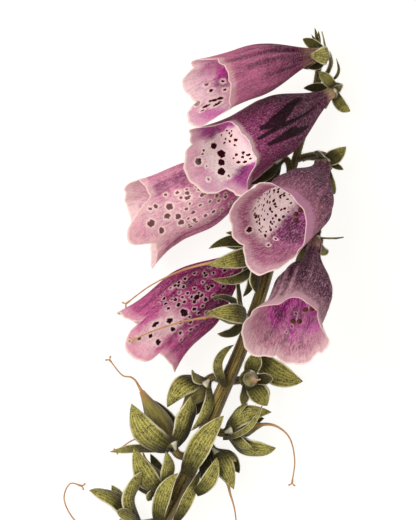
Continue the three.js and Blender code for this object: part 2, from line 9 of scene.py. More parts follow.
import bpy
import numpy as np
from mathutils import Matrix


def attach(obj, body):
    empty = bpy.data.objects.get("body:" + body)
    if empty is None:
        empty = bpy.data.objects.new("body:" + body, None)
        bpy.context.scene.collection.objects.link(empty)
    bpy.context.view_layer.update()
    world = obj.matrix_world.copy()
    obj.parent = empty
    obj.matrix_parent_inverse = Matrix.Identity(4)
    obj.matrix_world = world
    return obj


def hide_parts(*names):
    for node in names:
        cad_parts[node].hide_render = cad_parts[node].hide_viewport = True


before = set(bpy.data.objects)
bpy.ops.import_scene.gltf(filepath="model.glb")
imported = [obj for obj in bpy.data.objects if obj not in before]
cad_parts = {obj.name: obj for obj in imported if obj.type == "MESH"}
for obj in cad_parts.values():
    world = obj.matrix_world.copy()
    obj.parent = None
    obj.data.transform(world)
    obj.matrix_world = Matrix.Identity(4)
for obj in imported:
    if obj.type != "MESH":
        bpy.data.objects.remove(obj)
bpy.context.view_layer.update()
rng = np.random.default_rng(7)

# ---------------------------------------------------------------- driving dimensions, in millimetres

MM = 0.001
ORIGIN = np.array([-0.33, -0.34, 0.0])  # bottom centre of the whole spike, in the tables' coordinates
TABLE_CLEARANCE = 0.03
GAP = 0.35  # between parts that grow together
UP = (0.3, 0.2, 1.0)  # where the first point of a rod's section faces

# Receptacles and sepals
CUP_DEPTH = 0.4
CUP_TAIL = 1.6
CUP_OUTLINE = (
  (-2.6, 0.55), (-2.2, 0.95), (-1.6, 1.25), (-1.0, 1.75), (-0.4, 2.35), (0.0, 2.7), (0.4, 2.75), (0.6, 2.3),
)
SEPAL_ROOT = 2.0
SEPAL_DROP = 0.9
SEPAL_TURN = 1.1
SEPAL_SPREAD = 0.48
SEPAL_RISE = 0.3
SEPAL_TUCK = 1.2  # how far a sepal starts inside its receptacle

# Leaves
BLADE = 0.2  # half the thickness of a leaf along its midrib
BLADE_TAPER = 0.72  # share of it that is lost at the margin
LEAF_RAISE = 0.25
LEAF_WAVE = 0.12
LEAF_VEINS = 7
VEIN_DEPTH = 0.055
LEAF_SHIFT = 8  # centimetres that the pattern moves from leaf to leaf
LEAF_ROWS = 22
LEAF_COLUMNS = 18

# Bells
PETAL = 0.34  # wall of a bell
RIM_TAPER = 0.45  # share of the wall that is lost at the rim
BELL_BASE = 2.45
BELL_BELLY = 0.09
FLARE_START = 0.86
FLARE_LENGTH = 0.3
FLARE_REACH = 2.4
FLARE_CURVE = 1.6
LOBE_CURVE = 5  # how late in the bell the lobes and notches of its rim begin
LOBE_POINT = 0.6
ROW_CROWDING = 1.25  # above 1, the mesh is finer near the rim
CREASE_DEPTH = 0.32
RIDGE_HEIGHT = 0.28
STROKE_SOFTNESS = 0.35
STROKE_FADE = 2.5
LIP_ROUNDING = 0.12
RUFFLES = ((9, 0.2), (17, 0.12), (31, 0.05))  # count round the bell and height, for each ripple
FOLDS = ((7, 0.2), (11, 0.17), (19, 0.09))
RIM_WAVES = ((3, 0.2), (5, 0.25), (8, 0.18), (13, 0.08))
BELL_SIDES = 144
BELL_ROWS = 84

# Stamens, pistils, capsules and stalks
FILAMENT_ROOTS = (150, -150, 165, -165)
ANTHERS = ((150, 0.56, 0.72), (-150, 0.56, 0.72), (165, 0.7, 0.72), (-165, 0.7, 0.72))
ANTHER_LOBE = 1.5
FILAMENT = (0.42, 0.26)
OVARY = 0.9
STYLE = 0.26
DRIED_STYLE = 0.2
CAPSULE_OUTLINE = (
  (0.04, 0.75), (0.12, 0.9), (0.24, 0.97), (0.36, 1.0), (0.48, 0.93), (0.6, 0.74), (0.72, 0.52), (0.84, 0.33),
  (0.93, 0.22),
)
STEM_RIBS = ((5, 0.05, 0), (11, 0.03, 3))  # count, height and twist along the stem, in radians
FLOWER_STALK = 0.95
FRUIT_STALK = 1.15

# Hairs on each part, and their length
STEM_FUZZ, STEM_FUR = 5200, 0.75
STALK_FUZZ, STALK_FUR = 420, 0.6
CUP_FUZZ, CUP_FUR = 160, 0.55
CAPSULE_FUZZ, CAPSULE_FUR = 260, 0.4
SEPAL_FUZZ, SEPAL_FUR = 70, 0.32

# Picture and studio, in metres and watts
FRAME_HEIGHT = 0.1456
CAMERA_HEIGHT = 4.0
CAMERA_LIFT = 0.015
CAMERA_OVER = (0.00033, 0.00818)
WORLD_TINT = (1.0, 0.985, 0.965, 1.0)
WORLD_STRENGTH = 0.85
SOFTBOX_POWER = 7.5
SOFTBOX_SIZE = 0.6
SOFTBOX_PLACE = (-0.5, 0.15, 0.9)
FLOOR_REACH = 4.0
FLOOR_GLOW = 0.92
FLOOR_GREY = 0.84  # how much of the floor's colour is taken out of what it reflects

STEM_PATH = [
  [31.6, 66.0, 8.0, 0.75],
  [29.6, 53.5, 5.4, 0.95],
  [23.6, 33.0, 6.6, 1.1],
  [16.4, 3.8, 8.4, 1.5],
  [9.6, -16.0, 9.0, 1.75],
  [2.7, -31.9, 8.8, 1.95],
  [-5.7, -51.9, 7.0, 2.1],
  [-12.4, -64.7, 4.4, 2.2],
  [-16.2, -72.8, 2.3, 2.3],
]

FLOWERS = [
  {
    "base": [32.4, 65.4, 15.0], "middle": [21.4, 65.2, 25.0], "mouth": [4.4, 57.6, 34.5],
    "lip": [-0.15, -0.9, -0.35], "radius": 7.3, "neck": 0.8, "swell": (0.06, 0.78), "joint": 0.06,
    "stalk": 0.6,
    "rim": [
      [0, 12.5, 0.2, 38, 5], [76, 4, 0.7, 112, 2.5], [147, 2, 0.7, 180, 1.5],
      [213, 5.5, 0.7, 250, 4], [284, 7.5, 0.7, 320, 6],
    ],
    "route": [[33.2, 60.0, 8.2], [34.5, 63.3, 11.3]],
    "sepals": [
      [26.5, 69.8, 13.6, 3.2, 1], [28.4, 65.0, 22.8, 5.2], [26.0, 61.8, 13.6, 3.4, 1],
      [27.8, 61.7, 18.0, 2.6], [31.8, 71.8, 18.0, 1.2],
    ],
  },
  {
    "base": [35.1, 55.0, 9.6], "middle": [21.5, 46.8, 19.5], "mouth": [6.7, 38.5, 28.0],
    "lip": [-0.45, -0.25, -0.86], "radius": 8.6, "neck": 0.7, "swell": (0.01, 0.6), "joint": 0.1,
    "stalk": 0.6,
    "rim": [
      [0, 10.7, 0.4, 48, 4.0], [90, 3.4, 2.6, 126, 0.5], [147, -1.5, 0.6, 180, -1.5],
      [213, -1, 0.6, 240, 0.5], [284, 7, 0.8, 318, 6],
    ],
    "route": [[33.4, 57.0, 4.2], [37.2, 56.8, 5.8]],
    "sepals": [
      [31.0, 60.7, 15.4, 3.2, 1], [37.7, 56.7, 13.4, 2.2, 1], [39.9, 49.6, 8.0, 3.8],
      [26.8, 56.0, 8.4, 3.0], [33.0, 50.4, 0.7, 1.8],
    ],
  },
  {
    "base": [19.0, 35.4, 7.5], "middle": [2.0, 28.8, 8.0], "mouth": [-14.8, 21.2, 10.7],
    "lip": [0.1, -0.37, 0.93], "radius": 9.9, "swell": (0.06, 0.7), "point": 1.5, "joint": 0.25,
    "rim": [
      [4, 12, 0.7, 50, 0.5], [76, 0.7, 0.7, 112, 1], [147, 4.5, 0.7, 180, 5],
      [213, 6, 0.7, 245, 3.5], [284, 7, 1.5, 338, 4.5],
    ],
    "sepals": [
      [11.4, 26.4, 9.6, 3.2], [11.8, 29.0, 14.0, 2.8], [11.8, 38.4, 13.4, 3.4],
      [13.0, 40.2, 6.0, 3.4], [9.4, 31.0, 1.6, 3.4],
    ],
  },
  {
    "base": [12.2, 9.6, 8.2], "middle": [-0.2, 0.6, 8.4], "mouth": [-13.9, -11.7, 9.9],
    "lip": [0.0, 0.0, 1.0], "radius": 9.6, "swell": (0.02, 0.7), "point": 0.4, "joint": 0.45,
    "rim": [
      [0, 11.5, 0.4, 30, 2.5], [80, 5.5, 0.7, 112, 2], [147, 3, 0.4, 180, 1.5],
      [213, 3, 0.4, 250, 1.5], [288, 4.5, 1.1, 333, 4.5],
    ],
    "sepals": [
      [7.6, 0.8, 14.6, 3.6], [9.8, -2.4, 9.4, 3.8], [3.6, 12.0, 12.6, 3.0],
      [5.2, 14.6, 6.4, 3.2], [6.4, 1.6, 1.2, 3.6],
    ],
  },
  {
    "base": [32.5, 34.9, 8.2], "middle": [28.4, 23.7, 19.8], "mouth": [19.8, 18.2, 37.5],
    "lip": [-0.9, 0.2, -0.3], "radius": 9.4, "swell": (0.0, 0.6), "joint": 0.21,
    "rim": [
      [0, 5.5, 1.4, 42, 3], [82, 6, 1.8, 122, 2.5], [150, 4, 0.3, 185, 3],
      [215, 3, 0.3, 250, 2.5], [278, 4.5, 1.8, 306, 2.5],
    ],
    "anthers": [[150, 0.6, 0.72], [-135, 0.87, 0.64], [165, 0.7, 0.72], [-160, 0.9, 0.4]],
    "sepals": [
      [38.7, 39.6, 13.4, 4.4, 1], [38.0, 33.2, 10.0, 1.8, 1], [35.6, 26.4, 0.5, 3.6],
      [26.6, 35.4, 12.6, 2.2], [30.9, 38.4, 14.6, 4.2],
    ],
  },
  {
    "base": [30.2, 13.4, 8.2], "middle": [28.0, 1.0, 22.0], "mouth": [22.6, -10.0, 36.5],
    "lip": [0.15, -0.75, -0.6], "radius": 8.2, "neck": 0.8, "swell": (0.12, 0.6), "joint": 0.3,
    "rim": [
      [15, 4.5, 1.2, 52, 3], [84, 4.5, 2.5, 110, -3], [147, -1.5, 0.9, 178, 0.5],
      [213, 6, 1.2, 243, 5.5], [284, 6.5, 1.5, 335, 2.8],
    ],
    "anthers": [[115, 0.87, 0.62], [-150, 0.6, 0.7], [5, 0.86, 0.3], [-165, 0.7, 0.72]],
    "sepals": [
      [38.0, 14.2, 13.0, 1.8], [33.8, 10.6, 0.2, 2.6], [26.6, 12.6, 15.4, 2.6],
      [24.6, 6.4, 4.4, 3.4], [30.8, 19.6, 15.4, 2.8],
    ],
  },
]

FRUITS = [
  {
    "base": [13.6, 9.8, 19.0], "tip": [3.0, 7.4, 21.5], "radius": 2.0, "joint": 0.42,
    "style": [[0.0, 6.9, 21.6], [-7.6, 4.8, 19.5], [-16.2, 0.6, 15.5], [-23.0, -4.4, 11.5]],
    "sepals": [
      [-0.2, 6.4, 25.4, 5.6], [0.8, 2.6, 21.8, 3.4], [0.2, 11.0, 19.4, 3.8],
      [13.4, -1.4, 20.8, 5.4], [5.0, 15.4, 22.0, 3.2],
    ],
  },
  {
    "base": [9.4, -8.6, 15.6], "tip": [1.4, -7.8, 20.6], "radius": 1.9, "joint": 0.6,
    "style": [[-0.6, -8.2, 21.4], [-7.0, -9.4, 23.2], [-15.1, -11.9, 23.4], [-21.0, -14.4, 22.6]],
    "sepals": [
      [-0.6, -7.0, 24.2, 5.6], [1.0, -2.6, 20.6, 2.4], [2.6, -12.8, 18.8, 3.4],
      [8.6, 4.0, 17.4, 3.0], [12.0, -14.4, 19.6, 3.0],
    ],
  },
  {
    "base": [11.4, -25.6, 10.0], "tip": [13.0, -25.4, 17.4], "radius": 2.1, "joint": 0.65,
    "style": [[13.2, -25.5, 18.6], [13.7, -25.8, 20.2]],
    "sepals": [
      [14.0, -18.0, 13.6, 4.8], [16.6, -33.0, 11.6, 5.8], [9.4, -32.8, 14.4, 4.0],
      [18.2, -25.4, 14.6, 3.4], [15.8, -31.6, 3.4, 5.0],
    ],
  },
  {
    "base": [-1.0, -27.0, 8.6], "tip": [-7.4, -34.0, 9.6], "radius": 2.8, "joint": 0.655,
    "style": [
      [-7.0, -38.4, 6.0], [-7.4, -42.4, 3.2], [-14.0, -43.6, 1.8],
      [-20.0, -42.4, 1.9], [-25.4, -45.6, 2.0],
    ],
    "sepals": [
      [-11.4, -33.4, 12.4, 6.6], [-4.8, -40.0, 14.4, 3.4], [-4.6, -23.2, 14.4, 4.2],
      [-8.6, -28.8, 2.4, 5.4], [-4.8, -36.4, 1.6, 4.2],
    ],
  },
  {
    "base": [6.4, -40.2, 9.4], "tip": [15.8, -38.2, 9.6], "radius": 2.6, "joint": 0.72,
    "style": [[18.8, -38.6, 9.4], [22.6, -41.6, 9.0], [24.3, -48.0, 7.6], [23.6, -54.8, 6.0]],
    "sepals": [
      [17.8, -34.8, 12.6, 5.6], [19.0, -44.8, 10.6, 6.6], [11.2, -32.4, 13.6, 2.4],
      [15.8, -36.6, 3.4, 5.0], [12.2, -44.6, 15.4, 3.4],
    ],
  },
  {
    "base": [-10.2, -44.0, 10.0], "tip": [-19.2, -27.9, 10.2], "radius": 3.5, "joint": 0.8,
    "style": [[-20.4, -25.9, 10.2], [-21.6, -25.0, 10.2], [-23.8, -24.6, 9.8], [-27.6, -20.2, 8.6]],
    "sepals": [
      [-21.4, -32.4, 14.6, 8.2], [-4.9, -30.4, 14.6, 7.2], [-27.4, -46.0, 7.4, 3.6],
      [-15.0, -31.6, 3.0, 6.4], [-19.2, -38.4, 4.6, 5.4],
    ],
  },
  {
    "base": [1.7, -46.6, 7.2], "tip": [5.6, -55.0, 7.4], "radius": 2.5, "joint": 0.77,
    "style": [[6.2, -57.6, 7.2], [7.4, -61.8, 6.4], [7.9, -66.0, 5.2], [7.8, -70.4, 3.8]],
    "sepals": [
      [8.0, -48.6, 11.4, 3.4], [7.2, -56.4, 11.0, 5.8], [-0.6, -55.6, 12.4, 4.0],
      [8.8, -52.0, 2.4, 5.0], [1.6, -55.6, 1.6, 4.6],
    ],
  },
  {
    "base": [-13.4, -56.2, 8.4], "tip": [-17.4, -48.2, 8.0], "radius": 2.4, "joint": 0.905,
    "style": [[-18.2, -46.4, 7.6], [-19.4, -44.4, 6.6]],
    "sepals": [
      [-20.7, -44.6, 11.0, 6.4], [-11.8, -45.8, 13.8, 4.4], [-21.0, -52.8, 3.6, 5.0],
      [-16.8, -59.8, 10.8, 3.0], [-16.2, -46.6, 1.6, 4.2],
    ],
  },
  {
    "base": [-20.2, -66.4, 7.2], "tip": [-27.8, -67.2, 8.2], "radius": 2.6, "joint": 0.94,
    "style": [
      [-31.6, -68.6, 7.8], [-37.2, -65.4, 6.6], [-40.4, -59.0, 5.6],
      [-38.6, -54.9, 4.8], [-35.4, -55.6, 4.4],
    ],
    "sepals": [
      [-33.3, -56.8, 9.0, 7.0], [-18.4, -51.4, 15.6, 6.0], [-27.0, -55.4, 2.0, 5.0],
      [-28.6, -72.0, 4.6, 5.0], [-25.6, -62.6, 17.4, 4.4],
    ],
  },
]

BRACTS = [
  {
    "root": [35.0, 58.4, 10.6], "middle": [37.9, 60.2, 13.0], "tip": [35.9, 64.2, 15.4],
    "width": 1.1, "face": [-0.6, -0.3, 0.75],
  },
  {
    "root": [4.9, -27.4, 12.2], "middle": [0.2, -20.0, 12.6], "tip": [7.2, -16.0, 13.2],
    "width": 3.4, "face": [-0.5, 0.2, 0.85],
  },
  {
    "root": [14.2, -19.0, 7.6], "middle": [18.0, -25.4, 6.6], "tip": [26.6, -26.2, 4.6],
    "width": 7.0, "face": [0.0, 0.0, 1.0],
  },
  {
    "root": [4.2, -42.2, 13.6], "middle": [12.4, -41.6, 15.0], "tip": [15.3, -32.6, 16.4],
    "width": 2.2, "face": [-0.3, 0.5, 0.8],
  },
  {
    "root": [-6.0, -52.4, 12.0], "middle": [-2.8, -43.6, 15.4], "tip": [4.4, -35.8, 15.4],
    "width": 6.8, "face": [-0.2, 0.2, 1.0],
  },
  {
    "root": [-3.4, -57.4, 13.0], "middle": [1.4, -54.4, 14.6], "tip": [2.4, -47.4, 15.0],
    "width": 4.4, "face": [0.2, 0.0, 1.0],
  },
  {
    "root": [-9.2, -65.6, 8.8], "middle": [-5.4, -59.0, 11.6], "tip": [-2.2, -51.0, 12.2],
    "width": 3.6, "face": [0.3, -0.1, 1.0],
  },
  {
    "root": [-13.6, -66.0, 10.4], "middle": [-14.2, -58.0, 13.4], "tip": [-8.4, -51.8, 14.6],
    "width": 5.0, "face": [-0.3, 0.1, 1.0],
  },
]

TIP_BUDS = [
  [29.0, 71.0, 11.6, 1.0], [29.9, 73.0, 10.6, 1.1], [31.0, 72.1, 9.4, 1.0],
  [28.6, 69.8, 7.4, 1.0], [30.6, 71.6, 6.8, 1.0],
]

# Colouring of each bell. "outside" and "inside" are a deep and a light colour and the shares of the
# length between which one turns into the other. "line" is the colour of veins, streaks, the painted shade
# in creases and the stain patches, and "spot" that of the spots. "band" is a rim of another colour outside:
# where it starts, its strength and its tint. "green" is how far the green of the receptacle runs out.
# "streaks", "vein" and "mottle" are strengths. "seed" picks the pattern of small spots, "show" is how far
# the markings show through to the outside, and "halo" how pale their rings are. "glow" and "shine" are
# painted light: emission, the light that the inside and the outside give back beyond what falls on them.
# "through" is what passes the outside, and "sheen" its velvet. "fuzz" and "fur" are the number and
# length of the hairs.
# "cream" is the pale floor of the bell: its middle and half its width in degrees, where it begins and
# ends, and how pale it is. "dots" are the small spots: cell size and stretch, least and greatest radius,
# the share of cells with a spot, half the field's width in degrees, and where it begins and ends.
# Single patches ("marks", the stain patches and "blush") are degrees from the middle of the lip,
# millimetres along the bell, radius and stretch. The stain patches are partly real stain and partly
# painted shade deep in the throat. Strokes ("creases", "ridges" and "shadow") run from degrees and
# millimetres to degrees and millimetres, with their width; a shadow's degrees count from the back. The
# creases are painted shade and the ridges painted highlight, along folds that the mesh also has, and
# "shadow" is a painted shadow of the stamens, dark on the outside.
PLAIN_LOOK = {
  "show": 0.0, "halo": 0.85, "glow": 0.16, "shine": 0.0, "through": 0.4, "sheen": 0.05, "vein": 0.42,
  "mottle": 0.3, "fuzz": 3200, "fur": 0.32, "band": None, "blush": [], "marks": [], "shadow": [],
}
LOOKS = [
  {
    "outside": ((102, 22, 62), (206, 118, 152), 0.35, 1.05),
    "inside": ((206, 64, 166), (248, 212, 222), 0.8, 1.1), "line": (56, 12, 34), "spot": (54, 4, 22),
    "green": 0.38, "streaks": 0.8, "mottle": 0.2, "seed": 2, "show": 0.1, "glow": 0.3,
    "cream": (-26, 24, 28, 37, 0.5), "dots": (2.4, 2.1, 0.1, 0.2, 0.3, 40, 30, 44),
    "marks": [
      (-38, 41, 0.6, 1.8), (-27, 37, 0.4, 2.6), (-20, 39.5, 0.4, 3.4), (-10, 37, 0.4, 3.2),
      (-22, 34.5, 0.6, 1.4), (-36, 44, 0.35, 1.8), (-58, 31.5, 0.4, 1.2), (-38, 32, 0.4, 1.2),
    ],
    "stains_and_shade": [(-50, 32, 1.8), (-64, 29, 1.6), (-36, 29, 2.4)],
    "blush": [(-2, 42, 4.4), (-20, 43, 3.8), (20, 40, 3.4), (-48, 31, 2.6)],
    "creases": [
      (152, 11, 162, 36, 0.5), (135, 11, 134, 30, 0.45), (176, 14, 178, 30, 0.3), (98, 14, 104, 26, 0.2),
    ],
    "ridges": [(148, 24, 148, 40, 0.5), (168, 22, 172, 38, 0.4), (143, 12, 146, 22, 0.3)],
  },
  {
    "outside": ((68, 0, 38), (136, 42, 94), 0.4, 1.05),
    "inside": ((176, 60, 148), (222, 144, 178), 0.85, 1.2), "line": (44, 2, 20), "spot": (50, 2, 18),
    "green": 0.1, "streaks": 0.6, "mottle": 0.2, "seed": 5, "glow": 0.8, "through": 0.08, "sheen": 0.0,
    "fuzz": 1200, "cream": (-2, 42, 26, 41.5, 1.0), "dots": (2.0, 1.2, 0.1, 0.22, 0.25, 50, 24, 42),
    "marks": [
      (-24, 37.2, 1.0, 1.0), (-4, 36, 1.15, 1.0), (10, 37.3, 1.0, 1.0), (24, 38.8, 1.1, 1.0),
      (-11, 43, 1.0, 1.0), (2, 41.5, 0.25, 1.0), (22, 43, 0.35, 1.0), (38, 38, 0.4, 1.0),
      (-25, 40.5, 0.35, 1.0), (15, 30, 0.45, 1.3), (12, 32.2, 0.45, 1.3), (24, 29, 0.5, 1.3),
      (22, 31, 0.4, 1.2), (27, 33, 0.55, 1.2), (34, 31.5, 0.45, 1.4), (33, 29.5, 0.35, 1.4),
      (-35, 30.5, 0.35, 1.2), (-27, 31, 0.4, 1.4), (-26, 33, 0.4, 1.0), (-18, 32, 0.35, 1.3),
      (-14, 30, 0.45, 1.4), (-20, 34, 0.3, 1.0), (-6, 31, 0.4, 1.2), (-38, 34, 0.35, 1.0),
      (-42, 32, 0.35, 1.2),
    ],
    "stains_and_shade": [(44, 34, 2.0), (30, 35.5, 1.0), (-44, 36, 1.6)],
    "blush": [(64, 36, 3.0), (-66, 38, 3.0), (30, 44, 2.0), (50, 42, 2.4)],
    "shadow": [
      (36, 12, 14, 20, 0.5, 1.3), (14, 20, 4, 25.5, 1.3, 1.9), (4, 25, 9, 30, 1.5, 0.6),
      (-16, 9, -6, 24, 0.2, 0.55), (-5, 23, -6, 32, 0.75, 0.45), (-42, 15, -28, 21.5, 0.35, 1.4),
      (-28, 21.5, -25, 30, 1.4, 0.5),
    ],
    "creases": [(168, 4, 172, 20, 0.25), (-160, 5, -156, 16, 0.25), (128, 5, 126, 20, 0.3)],
    "ridges": [(112, 5, 100, 24, 0.3), (134, 4, 132, 18, 0.2), (98, 6, 88, 22, 0.3)],
  },
  {
    "outside": ((192, 96, 142), (228, 162, 182), 0.35, 1.1),
    "inside": ((212, 148, 172), (244, 210, 214), 0.7, 1.1), "line": (132, 50, 98), "spot": (102, 32, 52),
    "green": 0.03, "streaks": 0.4, "mottle": 0.5, "seed": 8, "show": 0.9, "shine": 0.14,
    "cream": (2, 34, 20, 42, 0.4), "dots": (2.0, 1.3, 0.14, 0.26, 0.8, 40, 10, 31),
    "marks": [
      (22, 33.2, 1.0, 1.0), (1, 32, 0.85, 1.0), (9, 34.8, 0.8, 1.1), (-11, 31.8, 0.8, 1.1),
      (10, 40, 0.95, 1.2), (-8, 37.8, 1.0, 0.8), (30, 36.8, 0.55, 1.0), (30, 38.6, 0.5, 1.0),
      (42, 32.8, 0.45, 1.0), (24, 27.5, 0.5, 1.8), (38, 29.5, 0.45, 1.2), (-16, 28, 0.45, 1.2),
    ],
    "stains_and_shade": [(58, 33, 2.4), (60, 27, 2.4), (56, 38, 1.4), (-46, 34, 1.2)],
    "creases": [(66, 20, 66, 34, 0.4), (-42, 18, -46, 38, 0.3), (48, 34, 40, 44, 0.25)],
    "ridges": [(78, 22, 78, 38, 0.4), (-58, 14, -58, 34, 0.35)],
  },
  {
    "outside": ((158, 14, 102), (220, 104, 164), 0.55, 1.25),
    "inside": ((170, 60, 122), (242, 200, 212), 0.8, 1.2), "line": (88, 6, 54), "spot": (44, 2, 18),
    "green": 0.03, "streaks": 0.8, "seed": 11, "show": 1.0, "halo": 0.45, "cream": (0, 17, 27, 41, 0.6),
    "dots": (1.8, 1.25, 0.15, 0.27, 0.75, 46, 6, 29),
    "marks": [
      (-8, 25.8, 1.0, 1.0), (-1, 30, 0.8, 1.1), (-1, 20.4, 0.7, 1.2), (-15, 30.8, 0.6, 1.1),
      (-15, 28.2, 0.45, 1.0), (10, 33.4, 0.5, 2.4), (-14, 36.2, 0.7, 1.2), (1, 36.6, 0.55, 1.2),
      (10, 39.4, 0.5, 1.2), (16, 42, 0.4, 1.0), (36, 22, 0.4, 1.0), (42, 24, 0.4, 1.0), (-30, 30, 0.4, 1.0),
      (-40, 31, 0.4, 1.0),
    ],
    "stains_and_shade": [(-32, 23, 2.6), (-42, 18, 2.2), (34, 19, 2.4), (44, 14, 2.0), (6, 16, 1.6)],
    "creases": [
      (58, 10, 50, 34, 0.4), (-50, 10, -48, 34, 0.4), (30, 12, 27, 28, 0.35), (-28, 14, -27, 34, 0.35),
    ],
    "ridges": [(68, 12, 62, 34, 0.4), (40, 20, 36, 36, 0.35), (-38, 24, -36, 36, 0.3)],
  },
  {
    "outside": ((84, 26, 56), (176, 110, 132), 0.4, 1.0),
    "inside": ((134, 36, 104), (188, 112, 142), 0.72, 0.98), "line": (62, 18, 42), "spot": (56, 6, 24),
    "band": (0.84, 0.7, (206, 146, 178)), "green": 0.06, "streaks": 0.9, "mottle": 0.5, "seed": 14,
    "glow": 0.6, "shine": 0.12, "cream": (14, 42, 8, 34, 1.0),
    "dots": (1.45, 1.5, 0.2, 0.36, 0.85, 42, 8, 32.5),
    "marks": [
      (68, 28.5, 0.45, 1.0), (54, 24, 0.4, 1.0), (46, 26.5, 0.4, 1.0), (40, 31.5, 0.35, 1.0),
      (36, 30.3, 0.35, 1.0), (66, 32.5, 0.4, 1.0), (26, 35, 0.75, 1.4), (12, 31, 0.5, 2.2),
    ],
    "stains_and_shade": [(92, 24, 3.2), (76, 19, 2.4), (112, 21, 2.4)],
    "creases": [
      (-150, 6, -152, 26, 0.3), (-170, 6, -172, 28, 0.3), (172, 8, 170, 28, 0.3), (-128, 6, -132, 24, 0.3),
    ],
    "ridges": [
      (-160, 6, -162, 26, 0.3), (180, 8, 180, 28, 0.3), (-140, 5, -142, 24, 0.25), (160, 8, 158, 26, 0.3),
    ],
  },
  {
    "outside": ((76, 20, 48), (230, 186, 192), 0.62, 1.15),
    "inside": ((206, 50, 170), (204, 148, 162), 0.72, 1.0), "line": (66, 22, 42), "spot": (110, 40, 80),
    "band": (0.87, 0.75, (222, 180, 190)), "green": 0.16, "streaks": 1.0, "vein": 0.18, "mottle": 0.6,
    "seed": 17, "halo": 0.5, "glow": 0.34, "fuzz": 6500, "fur": 0.55, "cream": (0, 40, 20, 34, 0.1),
    "dots": (2.6, 1.2, 0.08, 0.14, 0.12, 40, 15, 40),
    "stains_and_shade": [(-60, 26, 2.6), (30, 24, 2.2), (-20, 22, 2.0)],
    "creases": [
      (-142, 16, -152, 38, 0.4), (-166, 14, -168, 34, 0.4), (176, 6, 168, 26, 0.5), (150, 10, 146, 28, 0.4),
      (-20, 14, -24, 36, 0.4), (8, 14, 10, 36, 0.4), (-50, 18, -56, 38, 0.4),
    ],
    "ridges": [
      (-152, 16, -160, 39, 0.5), (-174, 20, -178, 36, 0.4), (-132, 18, -142, 40, 0.5),
      (162, 8, 156, 24, 0.3), (-4, 16, -6, 38, 0.4), (24, 18, 28, 38, 0.4), (-36, 18, -40, 38, 0.4),
    ],
  },
]

# ---------------------------------------------------------------- curves and vectors


def vec(values):
    return np.array(values[:3], dtype=float)


def unit(v):
    return v / np.maximum(np.linalg.norm(v, axis=-1, keepdims=True), 1e-9)


def square_to(direction, axis):
    direction = np.broadcast_to(direction, axis.shape)
    return unit(direction - axis * np.sum(direction * axis, axis=-1, keepdims=True))


def smoothstep(low, high, value):
    share = np.clip((value - low) / (high - low), 0.0, 1.0)
    return share * share * (3.0 - 2.0 * share)


def bezier(a, b, c, share):
    t = np.asarray(share, dtype=float)[..., None]
    return (1 - t) ** 2 * a + 2 * t * (1 - t) * b + t ** 2 * c


def bezier_direction(a, b, c, share):
    t = np.asarray(share, dtype=float)[..., None]
    return unit((1 - t) * (b - a) + t * (c - b))


def spline(points, steps=24):
    """A dense line through the points: a centripetal Catmull-Rom curve."""
    knots = [2 * points[0] - points[1], *points, 2 * points[-1] - points[-2]]
    line = []
    for p0, p1, p2, p3 in zip(knots, knots[1:], knots[2:], knots[3:]):
        d0, d1, d2 = (max(np.linalg.norm(b - a) ** 0.5, 1e-4) for a, b in ((p0, p1), (p1, p2), (p2, p3)))
        m1 = ((p1 - p0) / d0 - (p2 - p0) / (d0 + d1) + (p2 - p1) / d1) * d1
        m2 = ((p2 - p1) / d1 - (p3 - p1) / (d1 + d2) + (p3 - p2) / d2) * d1
        for t in np.linspace(0, 1, steps, endpoint=False):
            line.append(
                (2 * t ** 3 - 3 * t ** 2 + 1) * p1
                + (t ** 3 - 2 * t ** 2 + t) * m1
                + (3 * t ** 2 - 2 * t ** 3) * p2
                + (t ** 3 - t ** 2) * m2
            )
    line.append(points[-1])
    return np.array(line)


def line_length(line):
    return np.linalg.norm(np.diff(line, axis=0), axis=1).sum()


def along_line(line, shares):
    """Points at shares of a line's length."""
    steps = np.linalg.norm(np.diff(line, axis=0), axis=1)
    reach = np.concatenate([[0.0], np.cumsum(steps)])
    wanted = np.asarray(shares) * reach[-1]
    return np.stack([np.interp(wanted, reach, line[:, k]) for k in range(3)], axis=-1)


def even_line(line, count):
    return along_line(line, np.linspace(0, 1, count))


def tube(points, radii, sides, reference=UP):
    """Rings round a line of points. radii is one number a point, or one a point and side."""
    tangents = unit(np.gradient(points, axis=0))
    normal = square_to(vec(reference), tangents[0])
    angles = np.arange(sides) * 2 * math.pi / sides
    radii = np.broadcast_to(np.asarray(radii, dtype=float).reshape(len(points), -1), (len(points), sides))
    rings = []
    for point, tangent, radius in zip(points, tangents, radii):
        normal = square_to(normal, tangent)
        binormal = np.cross(tangent, normal)
        spread = np.cos(angles)[:, None] * normal + np.sin(angles)[:, None] * binormal
        rings.append(point + radius[:, None] * spread)
    return np.array(rings)


# ---------------------------------------------------------------- meshes


